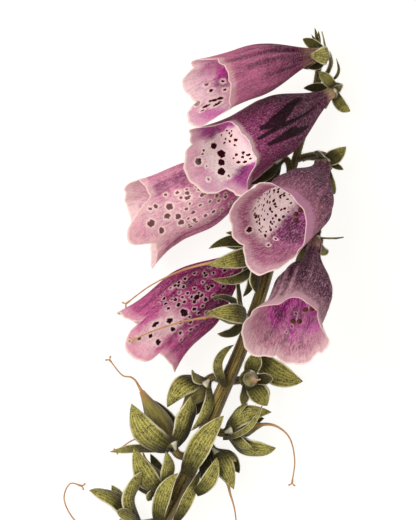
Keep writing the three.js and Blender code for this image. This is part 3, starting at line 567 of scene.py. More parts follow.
class Skin:
    """Closed surfaces gathered into one mesh, with their texture coordinates."""

    def __init__(self):
        self.points = []
        self.faces = []
        self.corners = {"shape": [], "size": [], "tone": []}
        self.slots = []
        self.count = 0

    def loft(self, rings, shape, size, tone=(0.0, 0.0), looped=False, slots=None):
        """Joins rings into a closed surface. shape and size hold a pair for each ring and side, with
        one side more than the ring has."""
        rows, sides = rings.shape[:2]
        self.points.append(rings.reshape(-1, 3))
        bands = rows if looped else rows - 1
        row = np.arange(bands)[:, None]
        side = np.arange(sides)[None, :]
        here, below = row * sides, (row + 1) % rows * sides
        other = (side + 1) % sides
        quads = np.stack([here + side, here + other, below + other, below + side], -1)
        self.faces.extend((quads.reshape(-1, 4) + self.count).tolist())
        for key, layer in (("shape", shape), ("size", size)):
            if looped:
                layer = np.concatenate([layer, layer[-1:]], axis=0)
            picked = [layer[row, side], layer[row, side + 1], layer[row + 1, side + 1], layer[row + 1, side]]
            self.corners[key].append(np.stack(picked, axis=2).reshape(-1, 2))
        self.corners["tone"].append(np.tile(tone, (bands * sides * 4, 1)))
        band_slots = np.zeros(bands, dtype=int) if slots is None else np.asarray(slots)
        self.slots.append(np.repeat(band_slots, sides))
        first = self.count
        self.count += rows * sides
        if not looped:
            for end in (0, rows - 1):
                self.cap(rings[end], shape[end], size[end], tone, first + end * sides, end == 0)

    def cap(self, ring, shape, size, tone, start, backwards):
        sides = len(ring)
        self.points.append(ring.mean(axis=0)[None])
        hub = self.count
        self.count += 1
        here = np.arange(sides)
        other = (here + 1) % sides
        first, second = (other, here) if backwards else (here, other)
        self.faces.extend(np.stack([np.full(sides, hub), first + start, second + start], -1).tolist())
        for key, layer in (("shape", shape), ("size", size)):
            picked = [np.broadcast_to(layer[:sides].mean(axis=0), (sides, 2)), layer[first], layer[second]]
            self.corners[key].append(np.stack(picked, axis=1).reshape(-1, 2))
        self.corners["tone"].append(np.tile(tone, (sides * 3, 1)))
        self.slots.append(np.zeros(sides, dtype=int))

    def rod(self, points, radii, sides, tone=(0.0, 0.0)):
        rings = tube(points, radii, sides)
        self.loft(rings, *rod_layers(rings, line_length(points)), tone)

    def build(self, name, materials, nodes):
        mesh = bpy.data.meshes.new(name)
        points = (np.concatenate(self.points) - ORIGIN) * MM
        points[:, 2] = np.maximum(points[:, 2], TABLE_CLEARANCE * MM)
        mesh.from_pydata(points.tolist(), [], self.faces)
        for key, pairs in self.corners.items():
            layer = mesh.uv_layers.new(name=key)
            layer.data.foreach_set("uv", np.concatenate(pairs).astype(np.float32).ravel())
        for material in materials:
            mesh.materials.append(material)
        mesh.polygons.foreach_set("material_index", np.concatenate(self.slots).astype(np.int32))
        mesh.polygons.foreach_set("use_smooth", np.ones(len(mesh.polygons), dtype=bool))
        mesh.update()
        piece = bpy.data.objects.new(name, mesh)
        bpy.context.scene.collection.objects.link(piece)
        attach(piece, "root")
        if nodes:
            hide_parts(*nodes)


def rod_layers(rings, length):
    """Texture coordinates of a rod: round it and along it, as shares and in centimetres."""
    rows, sides = rings.shape[:2]
    across, down = np.meshgrid(np.linspace(0, 1, sides + 1), np.linspace(0, 1, rows))
    radius = max(np.linalg.norm(rings[0, 0] - rings[0].mean(axis=0)), 0.3)
    shape = np.stack([across, down], axis=-1)
    size = np.stack([across * 2 * math.pi * radius / 10, down * length / 10], axis=-1)
    return shape, size


# ---------------------------------------------------------------- leaves


def leaf_outline(share):
    """Half the width at a share of the length: it starts partly open and comes to a point."""
    body = np.sin(math.pi * np.minimum(1.0, 0.18 + 0.82 * share) ** 1.15)
    return np.maximum(body, 0.0) ** 0.8


def add_leaf(skin, root, middle, tip, width, face, tone=(0.0, 0.0)):
    """A pointed leaf along a bent midrib, with raised, lightly waved margins and sunken veins."""
    share = np.linspace(0, 1, LEAF_ROWS)
    centre = bezier(root, middle, tip, share)
    along = bezier_direction(root, middle, tip, share)
    up = square_to(face, along)
    side = np.cross(up, along)
    half = np.maximum(0.05, width / 2 * leaf_outline(share))
    top = np.linspace(1, -1, LEAF_COLUMNS + 1)
    under = -top[1:-1]
    across = np.concatenate([top, under])
    off = np.abs(across)
    phase = rng.uniform(0, 2 * math.pi)
    waves = LEAF_WAVE * np.sin(2 * math.pi * (1.6 * share[:, None] + 0.12 * across[None] + phase))
    height = half[:, None] * (LEAF_RAISE * (off ** 1.7)[None] + waves * (off ** 2)[None])
    thick = BLADE * (1 - BLADE_TAPER * off ** 1.5)
    veins = VEIN_DEPTH * np.cos(across * math.pi * LEAF_VEINS) * smoothstep(0.0, 0.3, 1 - off)
    faces_up = np.concatenate([np.ones(len(top)), -np.ones(len(under))])
    height = height + (thick * faces_up)[None] - veins[None] * np.minimum(1.0, half / 1.6)[:, None]
    sideways = side[:, None] * (half[:, None] * across[None])[..., None]
    rings = centre[:, None] + sideways + up[:, None] * height[..., None]
    looped = np.concatenate([across, across[:1]])
    columns, rows = np.broadcast_to(looped[None], (LEAF_ROWS, len(looped))), share[:, None]
    shape = np.stack([columns / 2 + 0.5, np.broadcast_to(rows, columns.shape)], axis=-1)
    shift = rng.uniform(0, LEAF_SHIFT, 2)
    down = np.broadcast_to(rows * line_length(centre) / 10, columns.shape)
    size = np.stack([columns * half[:, None] / 10 + shift[0], down + shift[1]], axis=-1)
    skin.loft(rings, shape, size, tone)
    return centre, side, up, half


def calyx_leaves(base, axis, sepals, neck):
    """Root, middle, tip, width and face of each sepal round a receptacle."""
    leaves = []
    for sepal in sepals:
        tip = vec(sepal)
        outward = square_to(tip - base, axis)
        root = base + outward * SEPAL_ROOT * neck - axis * SEPAL_DROP
        reach = np.linalg.norm(tip - root)
        middle = root + outward * reach * SEPAL_SPREAD + axis * reach * SEPAL_RISE
        face = axis - 0.7 * outward
        face[2] -= SEPAL_TURN * np.sign(outward[2])
        if sepal[4:]:
            face = np.array([0.0, 0.0, 1.0])
        leaves.append((root - outward * SEPAL_TUCK * neck, middle, tip, sepal[3], face))
    return leaves


def add_cup(skin, base, axis, tone, neck):
    """The green receptacle under a flower, from the stalk to its rim."""
    points = np.array([base + axis * height for height, _ in CUP_OUTLINE])
    skin.rod(points, [radius * neck for _, radius in CUP_OUTLINE], 24, tone)


# ---------------------------------------------------------------- bells


class Bell:
    """The shape of one bell: where its skin is at a share of the length and an angle from the lip."""

    def __init__(self, flower):
        self.flower = flower
        self.base = vec(flower["base"])
        middle = vec(flower["middle"])
        self.axis = unit(middle - self.base)
        self.lip = vec(flower["lip"])
        self.neck = BELL_BASE * flower.get("neck", 1.0)
        self.curve = [self.base + self.axis * (CUP_DEPTH + GAP), middle, vec(flower["mouth"])]
        self.length = line_length(bezier(*self.curve, np.linspace(0, 1, 60)))

    def radius_at(self, share, angle=0.0):
        flower = self.flower
        body = self.neck + (flower["radius"] - self.neck) * smoothstep(*flower["swell"], share)
        lip = np.maximum(0.0, share - FLARE_START) / FLARE_LENGTH
        centres = [lobe[0] for lobe in flower["rim"]]
        flares = [lobe[2] for lobe in flower["rim"]]
        flare = np.interp(np.degrees(angle), centres, flares, period=360)
        return body + flare * FLARE_REACH * lip ** FLARE_CURVE

    def place(self, share, angle, inset=0.0):
        """share, angle and inset are arrays of one shape."""
        share, angle = np.broadcast_arrays(np.asarray(share, float), np.asarray(angle, float))
        in_tube = np.minimum(share, 1.0)
        along = bezier_direction(*self.curve, in_tube)
        centre = bezier(*self.curve, in_tube) + along * ((share - in_tube) * self.length)[..., None]
        down = square_to(self.lip, along)
        side = np.cross(along, down)
        radius = self.radius_at(share, angle) - inset
        belly = BELL_BELLY * self.flower["radius"] * np.sin(math.pi * np.minimum(1.0, share))
        lowered = down * (radius * np.cos(angle) + belly)[..., None]
        return centre + lowered + side * (radius * np.sin(angle))[..., None]

    def inside(self, share, degrees, spread):
        """A point a share of the way from the bell's axis to its wall."""
        return self.place(share, math.radians(degrees), self.radius_at(share) * (1 - spread))

    def rim_reach(self, degrees):
        """How far the rim runs past the throat at each angle: rounded lobes with notches between."""
        rim = self.flower["rim"]
        reach = np.zeros_like(degrees)
        for index, (centre, lobe, _, notch_after, reach_after) in enumerate(rim):
            notch_before, reach_before = rim[index - 1][3:]
            offset = (degrees - centre + 540) % 360 - 180
            before = (centre - notch_before) % 360
            share = np.where(offset > 0, offset / (notch_after - centre), -offset / before)
            notch = np.where(offset > 0, reach_after, reach_before)
            curve = np.maximum(0.0, 1 - share ** 2) ** self.flower.get("point", LOBE_POINT)
            reach = np.where(share <= 1.0001, notch + (lobe - notch) * curve, reach)
        return reach

    def stroke_relief(self, angle, along, strokes, height):
        """Long narrow folds pressed into or raised from the bell."""
        relief = np.zeros_like(along)
        for start_degrees, start, end_degrees, end, width in strokes:
            share = np.clip((along - start) / (end - start), 0, 1)
            middle = np.radians(start_degrees + (end_degrees - start_degrees) * share)
            across = ((angle - middle + math.pi) % (2 * math.pi) - math.pi) * self.flower["radius"]
            beyond = along - np.clip(along, start, end)
            falling = (across / (width + STROKE_SOFTNESS)) ** 2 + (beyond / STROKE_FADE) ** 2
            relief += height * np.exp(-falling)
        return relief


def ripples(waves, angle, shift=0.0):
    """Waves round a bell, each from a random start."""
    return sum(size * np.sin(count * angle + rng.uniform(0, 2 * math.pi) + shift) for count, size in waves)


def add_bell(skin, bell, look):
    angles = np.linspace(-math.pi, math.pi, BELL_SIDES + 1)
    reach = bell.rim_reach(np.degrees(angles)) + ripples(RUFFLES, angles)
    rows = 1 - (1 - np.linspace(0, 1, BELL_ROWS + 1)) ** ROW_CROWDING
    angle, row = np.meshgrid(angles, rows)
    share = row + reach[None] / bell.length * row ** LOBE_CURVE

    folds = ripples(FOLDS, angle, math.pi / 2 + 0.7 * np.sin(3 * row))
    relief = folds * smoothstep(0.02, 0.2, row) * (1 - 0.75 * smoothstep(0.4, 0.95, row))
    along = share * bell.length
    relief = relief + bell.stroke_relief(angle, along, look["creases"], -CREASE_DEPTH)
    relief = relief + bell.stroke_relief(angle, along, look["ridges"], RIDGE_HEIGHT)
    edge = smoothstep(0.8, 1.0, row)
    relief = relief + edge * ripples(RIM_WAVES, angle)

    wall = PETAL * (1 - RIM_TAPER * edge)
    outer = bell.place(share, angle, -relief)
    inner = bell.place(share, angle, wall - relief)
    rounding = LIP_ROUNDING / bell.length
    lip = bell.place(share[-1] + rounding, angles, wall[-1] / 2 - relief[-1])
    foot = bell.place(share[0] - rounding, angles, wall[0] / 2)
    rings = np.concatenate([outer, lip[None], inner[::-1], foot[None]])[:, :-1]

    around = np.broadcast_to((angles / (2 * math.pi) + 0.5)[None], angle.shape)
    shape = np.stack([around, row], axis=-1)
    size = np.stack([angle * bell.radius_at(share) / 10, along / 10], axis=-1)
    shape, size = (np.concatenate([layer, layer[-1:], layer[::-1], layer[:1]]) for layer in (shape, size))
    outside = [0] * (BELL_ROWS + 1)
    inside = [1] * (BELL_ROWS + 3)
    skin.loft(rings, shape, size, looped=True, slots=outside + inside)
    return outer[:, :-1]


# ---------------------------------------------------------------- materials


def linear(channel):
    share = channel / 255
    return share / 12.92 if channel <= 10 else ((share + 0.055) / 1.055) ** 2.4


def srgb(red, green, blue):
    return (linear(red), linear(green), linear(blue), 1.0)


BLACK = srgb(0, 0, 0)
SHEEN_TINT = (1.0, 0.9, 0.88, 1.0)
CUP_GREEN = srgb(164, 140, 92)  # the foot of a bell, inside its receptacle
FLOOR_CREAM = srgb(252, 234, 226)
HALO_CREAM = srgb(252, 232, 220)
RIM_CREAM = (250, 228, 218)
PALE_MOTTLE = srgb(246, 214, 226)
PALE_GRAIN = srgb(246, 210, 224)
SHADOW_DARK = srgb(14, 0, 4)
PLAIN_BAND = (0.93, 0.35, RIM_CREAM)
CREVICE = 0.014  # metres from which parts near each other paint shade into their crevices


# Scales of the noises on a bell: of streaks and veins round its section, and of the rest per centimetre
STREAK_SCALE = 4.0
VEIN_SCALE = 5.0
GRAIN_SCALE = 34.0
MOTTLE_SCALE = 13.0
CLOUD_SCALE = 2.6
SHAKE_SCALE = 14.0

# Millimetres by which the outline of each kind of patch and stroke is shaken
BLUSH_SHAKE = 3.0
STAIN_AND_SHADE_SHAKE = 2.5
FOLD_SHAKE = 1.6
MARK_SHAKE = 1.1
SHADOW_SHAKE = 0.9
NEAR_LIP = 95  # degrees: strokes further round than this are measured from the back of the bell


class Nodes:
    """A material under construction. Every method returns an output socket."""

    def __init__(self, name):
        self.material = bpy.data.materials.new(name)
        self.material.use_nodes = True
        self.tree = self.material.node_tree
        self.tree.nodes.clear()

    def node(self, kind, inputs=(), **settings):
        node = self.tree.nodes.new(kind)
        for key, value in settings.items():
            setattr(node, key, value)
        for key, value in dict(inputs).items():
            self.put(value, node.inputs[key])
        return node

    def put(self, value, socket):
        if isinstance(value, bpy.types.NodeSocket):
            self.tree.links.new(value, socket)
        else:
            socket.default_value = value

    def math(self, operation, *values, clamp=False):
        node = self.node("ShaderNodeMath", enumerate(values), operation=operation, use_clamp=clamp)
        return node.outputs[0]

    def times(self, a, b):
        return self.math("MULTIPLY", a, b)

    def plus(self, a, b, clamp=False):
        return self.math("ADD", a, b, clamp=clamp)

    def swing(self, noise, amount):
        """A noise turned into an offset to either side of nothing."""
        return self.times(self.math("SUBTRACT", noise, 0.5), amount)

    def vector(self, operation, a, b=(0.0, 0.0, 0.0)):
        node = self.node("ShaderNodeVectorMath", {0: a, 1: b}, operation=operation)
        return node.outputs["Value" if operation in ("LENGTH", "DOT_PRODUCT") else "Vector"]

    def scaled(self, vector, amount):
        return self.node("ShaderNodeVectorMath", {0: vector, "Scale": amount}, operation="SCALE").outputs[0]

    def join(self, x, y, z=0.0):
        return self.node("ShaderNodeCombineXYZ", {0: x, 1: y, 2: z}).outputs[0]

    def split(self, vector):
        return self.node("ShaderNodeSeparateXYZ", {0: vector}).outputs

    def layer(self, name):
        return self.node("ShaderNodeUVMap", uv_map=name).outputs[0]

    def mix(self, share, a, b):
        node = self.node("ShaderNodeMix", data_type="RGBA")
        for index, value in ((0, share), (6, a), (7, b)):
            self.put(value, node.inputs[index])
        return node.outputs[2]

    def tint(self, colour, mask, strength, other):
        """The colour turned towards another where the mask is, at most by the strength."""
        return self.mix(self.times(mask, strength), colour, other)

    def smooth(self, value, low, high):
        """0 below low and 1 above high, or the other way round when low is the greater."""
        node = self.node("ShaderNodeMapRange", interpolation_type="SMOOTHSTEP")
        ends = (low, high, 0.0, 1.0) if low < high else (high, low, 1.0, 0.0)
        for key, setting in enumerate((value, *ends)):
            self.put(setting, node.inputs[key])
        return node.outputs[0]

    def noise(self, vector, scale, detail=2.0, roughness=0.5, colour=False):
        inputs = {"Vector": vector, "Scale": scale, "Detail": detail, "Roughness": roughness}
        return self.node("ShaderNodeTexNoise", inputs).outputs["Color" if colour else "Fac"]

    def jitter(self, vector, scale):
        """A random vector to either side of nothing."""
        return self.vector("SUBTRACT", self.noise(vector, scale, 2.0, 0.6, colour=True), (0.5, 0.5, 0.5))

    def voronoi(self, vector, feature="F1", randomness=0.9):
        node = self.node("ShaderNodeTexVoronoi", {"Vector": vector, "Scale": 1.0, "Randomness": randomness})
        node.feature = feature
        node.voronoi_dimensions = "2D"
        return node.outputs

    def occlusion_shade(self, low, high):
        """A mask for painted shade, from ambient occlusion: 1 where other parts crowd in and 0 in the open.
        """
        node = self.node("ShaderNodeAmbientOcclusion", {"Distance": CREVICE})
        node.samples = 8
        return self.smooth(node.outputs["AO"], low, high)

    def finish(self, colour, glow, height, through, roughness=0.55, sheen=0.4, bump=0.0002, lit=None):
        """A surface that reflects one colour and lets light of another through. lit is painted light: how
        much light it gives back as emission beyond what falls on it, and where it doesn't."""
        relief = self.node("ShaderNodeBump", {"Strength": 0.7, "Distance": bump, "Height": height}).outputs[0]
        front = self.node("ShaderNodeBsdfPrincipled", {"Base Color": colour, "Normal": relief})
        front.inputs["Roughness"].default_value = roughness
        front.inputs["Specular IOR Level"].default_value = 0.1
        front.inputs["Sheen Weight"].default_value = sheen
        front.inputs["Sheen Roughness"].default_value = 0.45
        front.inputs["Sheen Tint"].default_value = SHEEN_TINT
        # Painted glow: the surface gives off its own colour as emission, though it is no lamp.
        if lit:
            strength, shade = lit
            self.put(self.mix(shade, colour, BLACK), front.inputs["Emission Color"])
            front.inputs["Emission Strength"].default_value = strength
            self.material.cycles.emission_sampling = "NONE"
        back = self.node("ShaderNodeBsdfTranslucent", {"Color": glow, "Normal": relief})
        both = self.node("ShaderNodeMixShader", {0: through, 1: front.outputs[0], 2: back.outputs[0]})
        self.tree.links.new(both.outputs[0], self.node("ShaderNodeOutputMaterial").inputs[0])
        return self.material


def leaf_material(name, dark, light, vein, margin, shade):
    n = Nodes(name)
    shape, size = n.split(n.layer("shape")), n.layer("size")
    tone = n.split(n.layer("tone"))
    across = n.math("MULTIPLY_ADD", shape[0], 2.0, -1.0)
    wobble = n.swing(n.noise(size, 7.0, 3.0, 0.6), 0.3)
    lines = n.math("COSINE", n.times(n.plus(across, wobble), math.pi * LEAF_VEINS))
    veins = n.smooth(lines, 0.7, 0.98)
    cell = n.voronoi(n.vector("MULTIPLY", size, (18.0, 13.0, 1.0)), "DISTANCE_TO_EDGE", 1.0)
    network = n.smooth(cell["Distance"], 0.14, 0.02)
    fine = n.noise(size, 60.0, 3.0, 0.6)
    mottle = n.noise(size, 15.0, 3.0, 0.65)
    broad = n.noise(size, 4.5, 4.0, 0.65)
    colour = n.mix(n.smooth(broad, 0.32, 0.62), dark, light)
    blotches = (
        (n.smooth(lines, -0.2, -0.95), 0.3, shade),
        (n.smooth(broad, 0.5, 0.3), 0.5, shade),
        (n.smooth(mottle, 0.5, 0.36), 0.55, shade),
        (n.smooth(mottle, 0.5, 0.64), 0.5, vein),
        (n.smooth(fine, 0.45, 0.25), 0.4, shade),
        (n.smooth(fine, 0.5, 0.75), 0.45, vein),
        (network, 0.45, vein),
        (veins, n.smooth(broad, 0.2, 0.6), vein),
        (tone[0], 0.65, margin),
    )
    for mask, strength, other in blotches:
        colour = n.tint(colour, mask, strength, other)
    # Painted shade: darker towards the foot of each leaf and in crevices where other parts crowd in. The
    # second tone value darkens a whole part towards the same dark colour.
    foot = n.smooth(n.plus(shape[1], n.times(wobble, 0.7)), 0.62, 0.04)
    foot = n.times(foot, n.math("SUBTRACT", 0.9, tone[0], clamp=True))
    painted_crevice_shade = n.times(n.occlusion_shade(1.0, 0.5), 0.9)
    colour = n.mix(n.math("MAXIMUM", n.plus(foot, tone[1], clamp=True), painted_crevice_shade), colour, shade)
    edge = n.smooth(n.math("ABSOLUTE", across), 0.85, 0.95)
    colour = n.tint(colour, edge, n.smooth(shape[1], 0.1, 0.35), margin)
    height = n.plus(n.times(veins, -0.6), n.times(fine, 0.5))
    return n.finish(colour, n.mix(0.25, colour, light), height, 0.38, roughness=0.5, sheen=0.3)


def stem_material(dark, light, pale, shade):
    n = Nodes("stem_green")
    shape, size = n.split(n.layer("shape")), n.split(n.layer("size"))
    turn = n.times(shape[0], 2 * math.pi)
    cosine, sine = n.math("COSINE", turn), n.math("SINE", turn)
    streak = n.noise(n.join(cosine, sine, n.times(size[1], 0.25)), 4.5, 4.0, 0.6)
    mottle = n.noise(n.join(cosine, sine, size[1]), 7.0, 3.0, 0.6)
    colour = n.mix(n.smooth(streak, 0.36, 0.66), dark, light)
    colour = n.tint(colour, n.smooth(mottle, 0.5, 0.8), 0.4, pale)
    # Painted shade in crevices where other parts crowd in.
    colour = n.tint(colour, n.occlusion_shade(0.9, 0.35), 0.7, shade)
    height = n.plus(streak, n.times(mottle, 0.4))
    return n.finish(colour, colour, height, 0.12, roughness=0.5, sheen=0.6, bump=0.0004)


def rod_material(name, light, dark, through=0.2):
    """Thin rods, darker and lighter along their length."""
    n = Nodes(name)
    patch = n.noise(n.layer("size"), 5.0, 3.0, 0.6)
    colour = n.mix(n.smooth(patch, 0.35, 0.7), light, dark)
    return n.finish(colour, colour, patch, through, roughness=0.45, sheen=0.2)


def capsule_material(foot, dark, light, style, style_dark):
    n = Nodes("capsule_green")
    shape, size = n.split(n.layer("shape")), n.layer("size")
    broad = n.noise(size, 6.0, 3.0, 0.6)
    fine = n.noise(size, 60.0, 2.0, 0.6)
    colour = n.mix(n.smooth(broad, 0.3, 0.7), dark, light)
    colour = n.mix(n.smooth(shape[1], 0.0, 0.16), foot, colour)
    thread = n.mix(n.smooth(broad, 0.4, 0.7), style, style_dark)
    colour = n.mix(n.smooth(shape[1], 0.2, 0.34), colour, thread)
    return n.finish(colour, colour, n.plus(broad, fine), 0.15, roughness=0.45, sheen=0.5)


def hair_material(name, colour, tip):
    n = Nodes(name)
    shape = n.split(n.layer("shape"))
    patch = n.noise(n.layer("size"), 3.0)
    mixed = n.tint(colour, shape[1], n.smooth(patch, 0.2, 0.6), tip)
    return n.finish(mixed, mixed, patch, 0.5, roughness=0.6, sheen=0.0)


class Petal(Nodes):
    """The material of one side of a bell, painted in layers, each over the last."""

    def __init__(self, name, look, bell, inside):
        super().__init__(name)
        self.look, self.bell, self.inside = look, bell, inside
        self.line = srgb(*look["line"])
        self.shown = 1.0 if inside else look["show"]
        self.shape, self.size = self.split(self.layer("shape")), self.layer("size")
        self.reach = self.times(self.split(self.size)[1], 10.0)
        self.along = self.math("DIVIDE", self.reach, bell.length)
        self.turn = self.math("MULTIPLY_ADD", self.shape[0], 2 * math.pi, -math.pi)
        opposite = self.math("FRACT", self.plus(self.shape[0], 0.5))
        self.from_back = self.swing(opposite, 2 * math.pi)
        cosine, sine = self.math("COSINE", self.turn), self.math("SINE", self.turn)
        slow = self.join(cosine, sine, self.times(self.along, 0.35))
        fast = self.join(self.times(cosine, 3.0), self.times(sine, 3.0), self.times(self.along, 1.2))
        self.streak = self.noise(slow, STREAK_SCALE, 4.0, 0.62)
        self.vein = self.noise(fast, VEIN_SCALE, 4.0, 0.65)
        self.grain = self.noise(self.vector("MULTIPLY", self.size, (1.0, 0.55, 1.0)), GRAIN_SCALE, 4.0, 0.75)
        self.mottle = self.noise(self.vector("MULTIPLY", self.size, (1.5, 0.42, 1.0)), MOTTLE_SCALE, 4.0, 0.7)
        self.cloud = self.noise(self.size, CLOUD_SCALE, 3.0, 0.55)
        self.drift = self.swing(self.cloud, 0.5)
        self.shake = self.jitter(self.size, SHAKE_SCALE)

    def patch_place(self, angle, amount):
        """Radians and millimetres on the bell, shaken so that patches have an uneven outline."""
        shaken = self.vector("MULTIPLY", self.shake, (amount / self.bell.flower["radius"], amount, 0.0))
        return self.vector("ADD", self.join(angle, self.reach), shaken)

    def nearest(self, distances):
        found = None
        for distance in distances:
            found = distance if found is None else self.math("MINIMUM", found, distance)
        return found

    def nearest_patch(self, patches, amount):
        """Millimetres from the edge of the nearest patch."""
        place = self.patch_place(self.turn, amount)
        distances = []
        for degrees, along, radius, *rest in patches:
            girth = self.bell.radius_at(along / self.bell.length)
            offset = self.vector("SUBTRACT", place, (math.radians(degrees), along, 0.0))
            offset = self.vector("MULTIPLY", offset, (girth, 1 / rest[0] if rest else 1.0, 0.0))
            distances.append(self.math("SUBTRACT", self.vector("LENGTH", offset), radius))
        return self.nearest(distances)

    def nearest_stroke(self, angle, strokes, amount):
        """Millimetres from the edge of the nearest stroke."""
        place = self.patch_place(angle, amount)
        distances = []
        for start_degrees, start, end_degrees, end, width, *taper in strokes:
            girth = self.bell.radius_at((start + end) / 2 / self.bell.length)
            first = np.array([math.radians(start_degrees) * girth, start, 0.0])
            span = np.array([math.radians(end_degrees) * girth, end, 0.0]) - first
            offset = self.vector("SUBTRACT", self.vector("MULTIPLY", place, (girth, 1.0, 0.0)), tuple(first))
            covered = self.vector("DOT_PRODUCT", offset, tuple(span))
            share = self.math("DIVIDE", covered, float(span @ span), clamp=True)
            growth = taper[0] - width if taper else 0.0
            half = self.math("MULTIPLY_ADD", share, growth, width)
            off = self.vector("LENGTH", self.vector("SUBTRACT", offset, self.scaled(tuple(span), share)))
            distances.append(self.math("SUBTRACT", off, half))
        return self.nearest(distances)

    def small_spots(self):
        """Round spots with pale halos, one to a cell."""
        cell, stretch, low, high, density = self.look["dots"][:5]
        seed = self.look["seed"]
        place = self.vector("ADD", self.size, self.scaled(self.jitter(self.size, 11.0), 0.09))
        place = self.vector("MULTIPLY", place, (10 / cell, 10 / (cell * stretch), 1.0))
        found = self.voronoi(self.vector("ADD", place, (seed, 3.0 * seed, 0.0)), randomness=0.85)
        chance = self.split(found["Color"])
        radius = self.math("MULTIPLY_ADD", chance[0], high - low, low)
        missing = self.math("GREATER_THAN", chance[1], density)
        distance = self.plus(self.math("SUBTRACT", found["Distance"], radius), missing)
        return self.smooth(distance, 0.04, -0.04), self.smooth(distance, 0.24, 0.06)

    def ground(self):
        """The bell's own colour, with its stain patches, which are partly painted shade deep in the throat.
        """
        look = self.look
        deep, light, pale_from, pale_to = look["inside"] if self.inside else look["outside"]
        pale = self.smooth(self.plus(self.along, self.drift), pale_from, pale_to)
        colour = self.mix(pale, srgb(*deep), srgb(*light))
        if not self.inside:
            colour = self.mix(self.smooth(self.along, look["green"], 0.3 * look["green"]), colour, CUP_GREEN)
        elif look["blush"]:
            blush = self.smooth(self.nearest_patch(look["blush"], BLUSH_SHAKE), 2.0, -1.6)
            colour = self.tint(colour, blush, 0.75, srgb(*deep))
        if self.inside or look["show"] > 0.5:
            # Stain patches: real stain, and painted shade deep in the throat.
            stains_and_shade = self.smooth(self.nearest_patch(look["stains_and_shade"], STAIN_AND_SHADE_SHAKE), 1.6, -1.2)
            colour = self.tint(colour, stains_and_shade, 0.6, self.line)
        return colour

    def add_folds(self, colour):
        """Painted highlight along the ridges and painted shade in the creases, where the mesh has them."""
        light = (self.look["inside"] if self.inside else self.look["outside"])[1]
        for key, paint in (("ridges", srgb(*light)), ("creases", self.line)):
            near_lip = [stroke for stroke in self.look[key] if abs(stroke[0]) < NEAR_LIP]
            near_back = [
                (start % 360 - 180, begin, end % 360 - 180, *rest)
                for start, begin, end, *rest in self.look[key] if abs(start) >= NEAR_LIP
            ]
            for angle, strokes in ((self.turn, near_lip), (self.from_back, near_back)):
                if strokes:
                    edge = self.nearest_stroke(angle, strokes, FOLD_SHAKE)
                    colour = self.tint(colour, self.smooth(edge, 0.7, -0.3), 0.45, paint)
        return colour

    def add_veins(self, colour):
        """Streaks along the outside, and fine veins on both sides."""
        strength = self.look["streaks"]
        if not self.inside:
            fading = self.smooth(self.along, 1.25, 0.3)
            pale, dark = self.smooth(self.streak, 0.46, 0.34), self.smooth(self.streak, 0.5, 0.62)
            light = srgb(*self.look["outside"][1])
            colour = self.tint(colour, pale, self.times(fading, 0.45 * strength), light)
            colour = self.tint(colour, dark, self.times(fading, strength), self.line)
        return self.tint(colour, self.smooth(self.vein, 0.5, 0.7), self.look["vein"], self.line)

    def field(self, off_centre, half, start, end, fade):
        """A stretch of the bell's floor with soft edges: degrees wide each way and millimetres long."""
        wide = self.smooth(off_centre, half + fade[0], half - fade[0])
        begun = self.smooth(self.reach, start - fade[1], start + fade[1])
        return self.times(self.times(wide, begun), self.smooth(self.reach, end + fade[2], end - fade[2]))

    def add_markings(self, colour):
        """The pale floor, the grain of the petal, and the spots with their halos."""
        look = self.look
        centre, half, start, end, strength = look["cream"]
        degrees = self.times(self.turn, 180 / math.pi)
        off_centre = self.math("ABSOLUTE", self.math("SUBTRACT", degrees, centre))
        ragged = self.plus(off_centre, self.swing(self.cloud, 40.0))
        zone = self.field(ragged, half, start, end, (9, 3, 2.5))
        colour = self.tint(colour, zone, strength * self.shown, FLOOR_CREAM)
        mottle = look["mottle"]
        speckles = (
            (self.mottle, 0.5, 0.62, 0.6 * mottle, PALE_MOTTLE),
            (self.mottle, 0.49, 0.38, 0.8 * mottle, self.line),
            (self.grain, 0.5, 0.7, 0.36, PALE_GRAIN),
            (self.grain, 0.5, 0.32, 0.5, self.line),
        )
        for noise, low, high, amount, paint in speckles:
            colour = self.tint(colour, self.smooth(noise, low, high), amount, paint)
        dotted = self.field(off_centre, *look["dots"][5:], (4, 1, 1))
        spots, halos = (self.times(mask, dotted) for mask in self.small_spots())
        if look["marks"]:
            edge = self.nearest_patch(look["marks"], MARK_SHAKE)
            spots = self.math("MAXIMUM", spots, self.smooth(edge, 0.08, -0.08))
            halos = self.math("MAXIMUM", halos, self.smooth(edge, 0.8, 0.15))
        colour = self.tint(colour, halos, look["halo"] * self.shown, HALO_CREAM)
        return self.tint(colour, spots, self.shown, srgb(*look["spot"]))

    def paint(self):
        look = self.look
        colour = self.add_markings(self.add_veins(self.add_folds(self.ground())))
        # Painted shadow: dark strokes on the outside where the shadow of the stamens shows through the wall.
        if look["shadow"] and not self.inside:
            edge = self.nearest_stroke(self.from_back, look["shadow"], SHADOW_SHAKE)
            colour = self.tint(colour, self.smooth(edge, 0.3, -0.2), 0.9, SHADOW_DARK)
        banded = look["band"] and not self.inside
        start, strength, band_tint = look["band"] if banded else PLAIN_BAND
        band = self.smooth(self.plus(self.shape[1], self.times(self.drift, 0.06)), start, start + 0.05)
        colour = self.tint(colour, band, strength, srgb(*band_tint))
        colour = self.tint(colour, self.smooth(self.shape[1], 0.99, 0.998), 0.8, srgb(*RIM_CREAM))
        glow = self.node("ShaderNodeGamma", {0: colour, 1: 0.75}).outputs[0]
        height = self.plus(self.times(self.grain, 0.8), self.times(self.streak, 1.2))
        # Painted light: the inside glows by emission away from its rim, and an outside with shine glows
        # everywhere but its band.
        through, lit = look["through"], None
        if self.inside:
            through, lit = 0.25, (look["glow"], self.smooth(self.along, 0.8, 1.0))
        elif look["shine"]:
            lit = (look["shine"], self.math("SUBTRACT", 1.0, band) if banded else 0.0)
        return self.finish(colour, glow, height, through, 0.7, look["sheen"], 0.0003, lit)


# ---------------------------------------------------------------- hairs

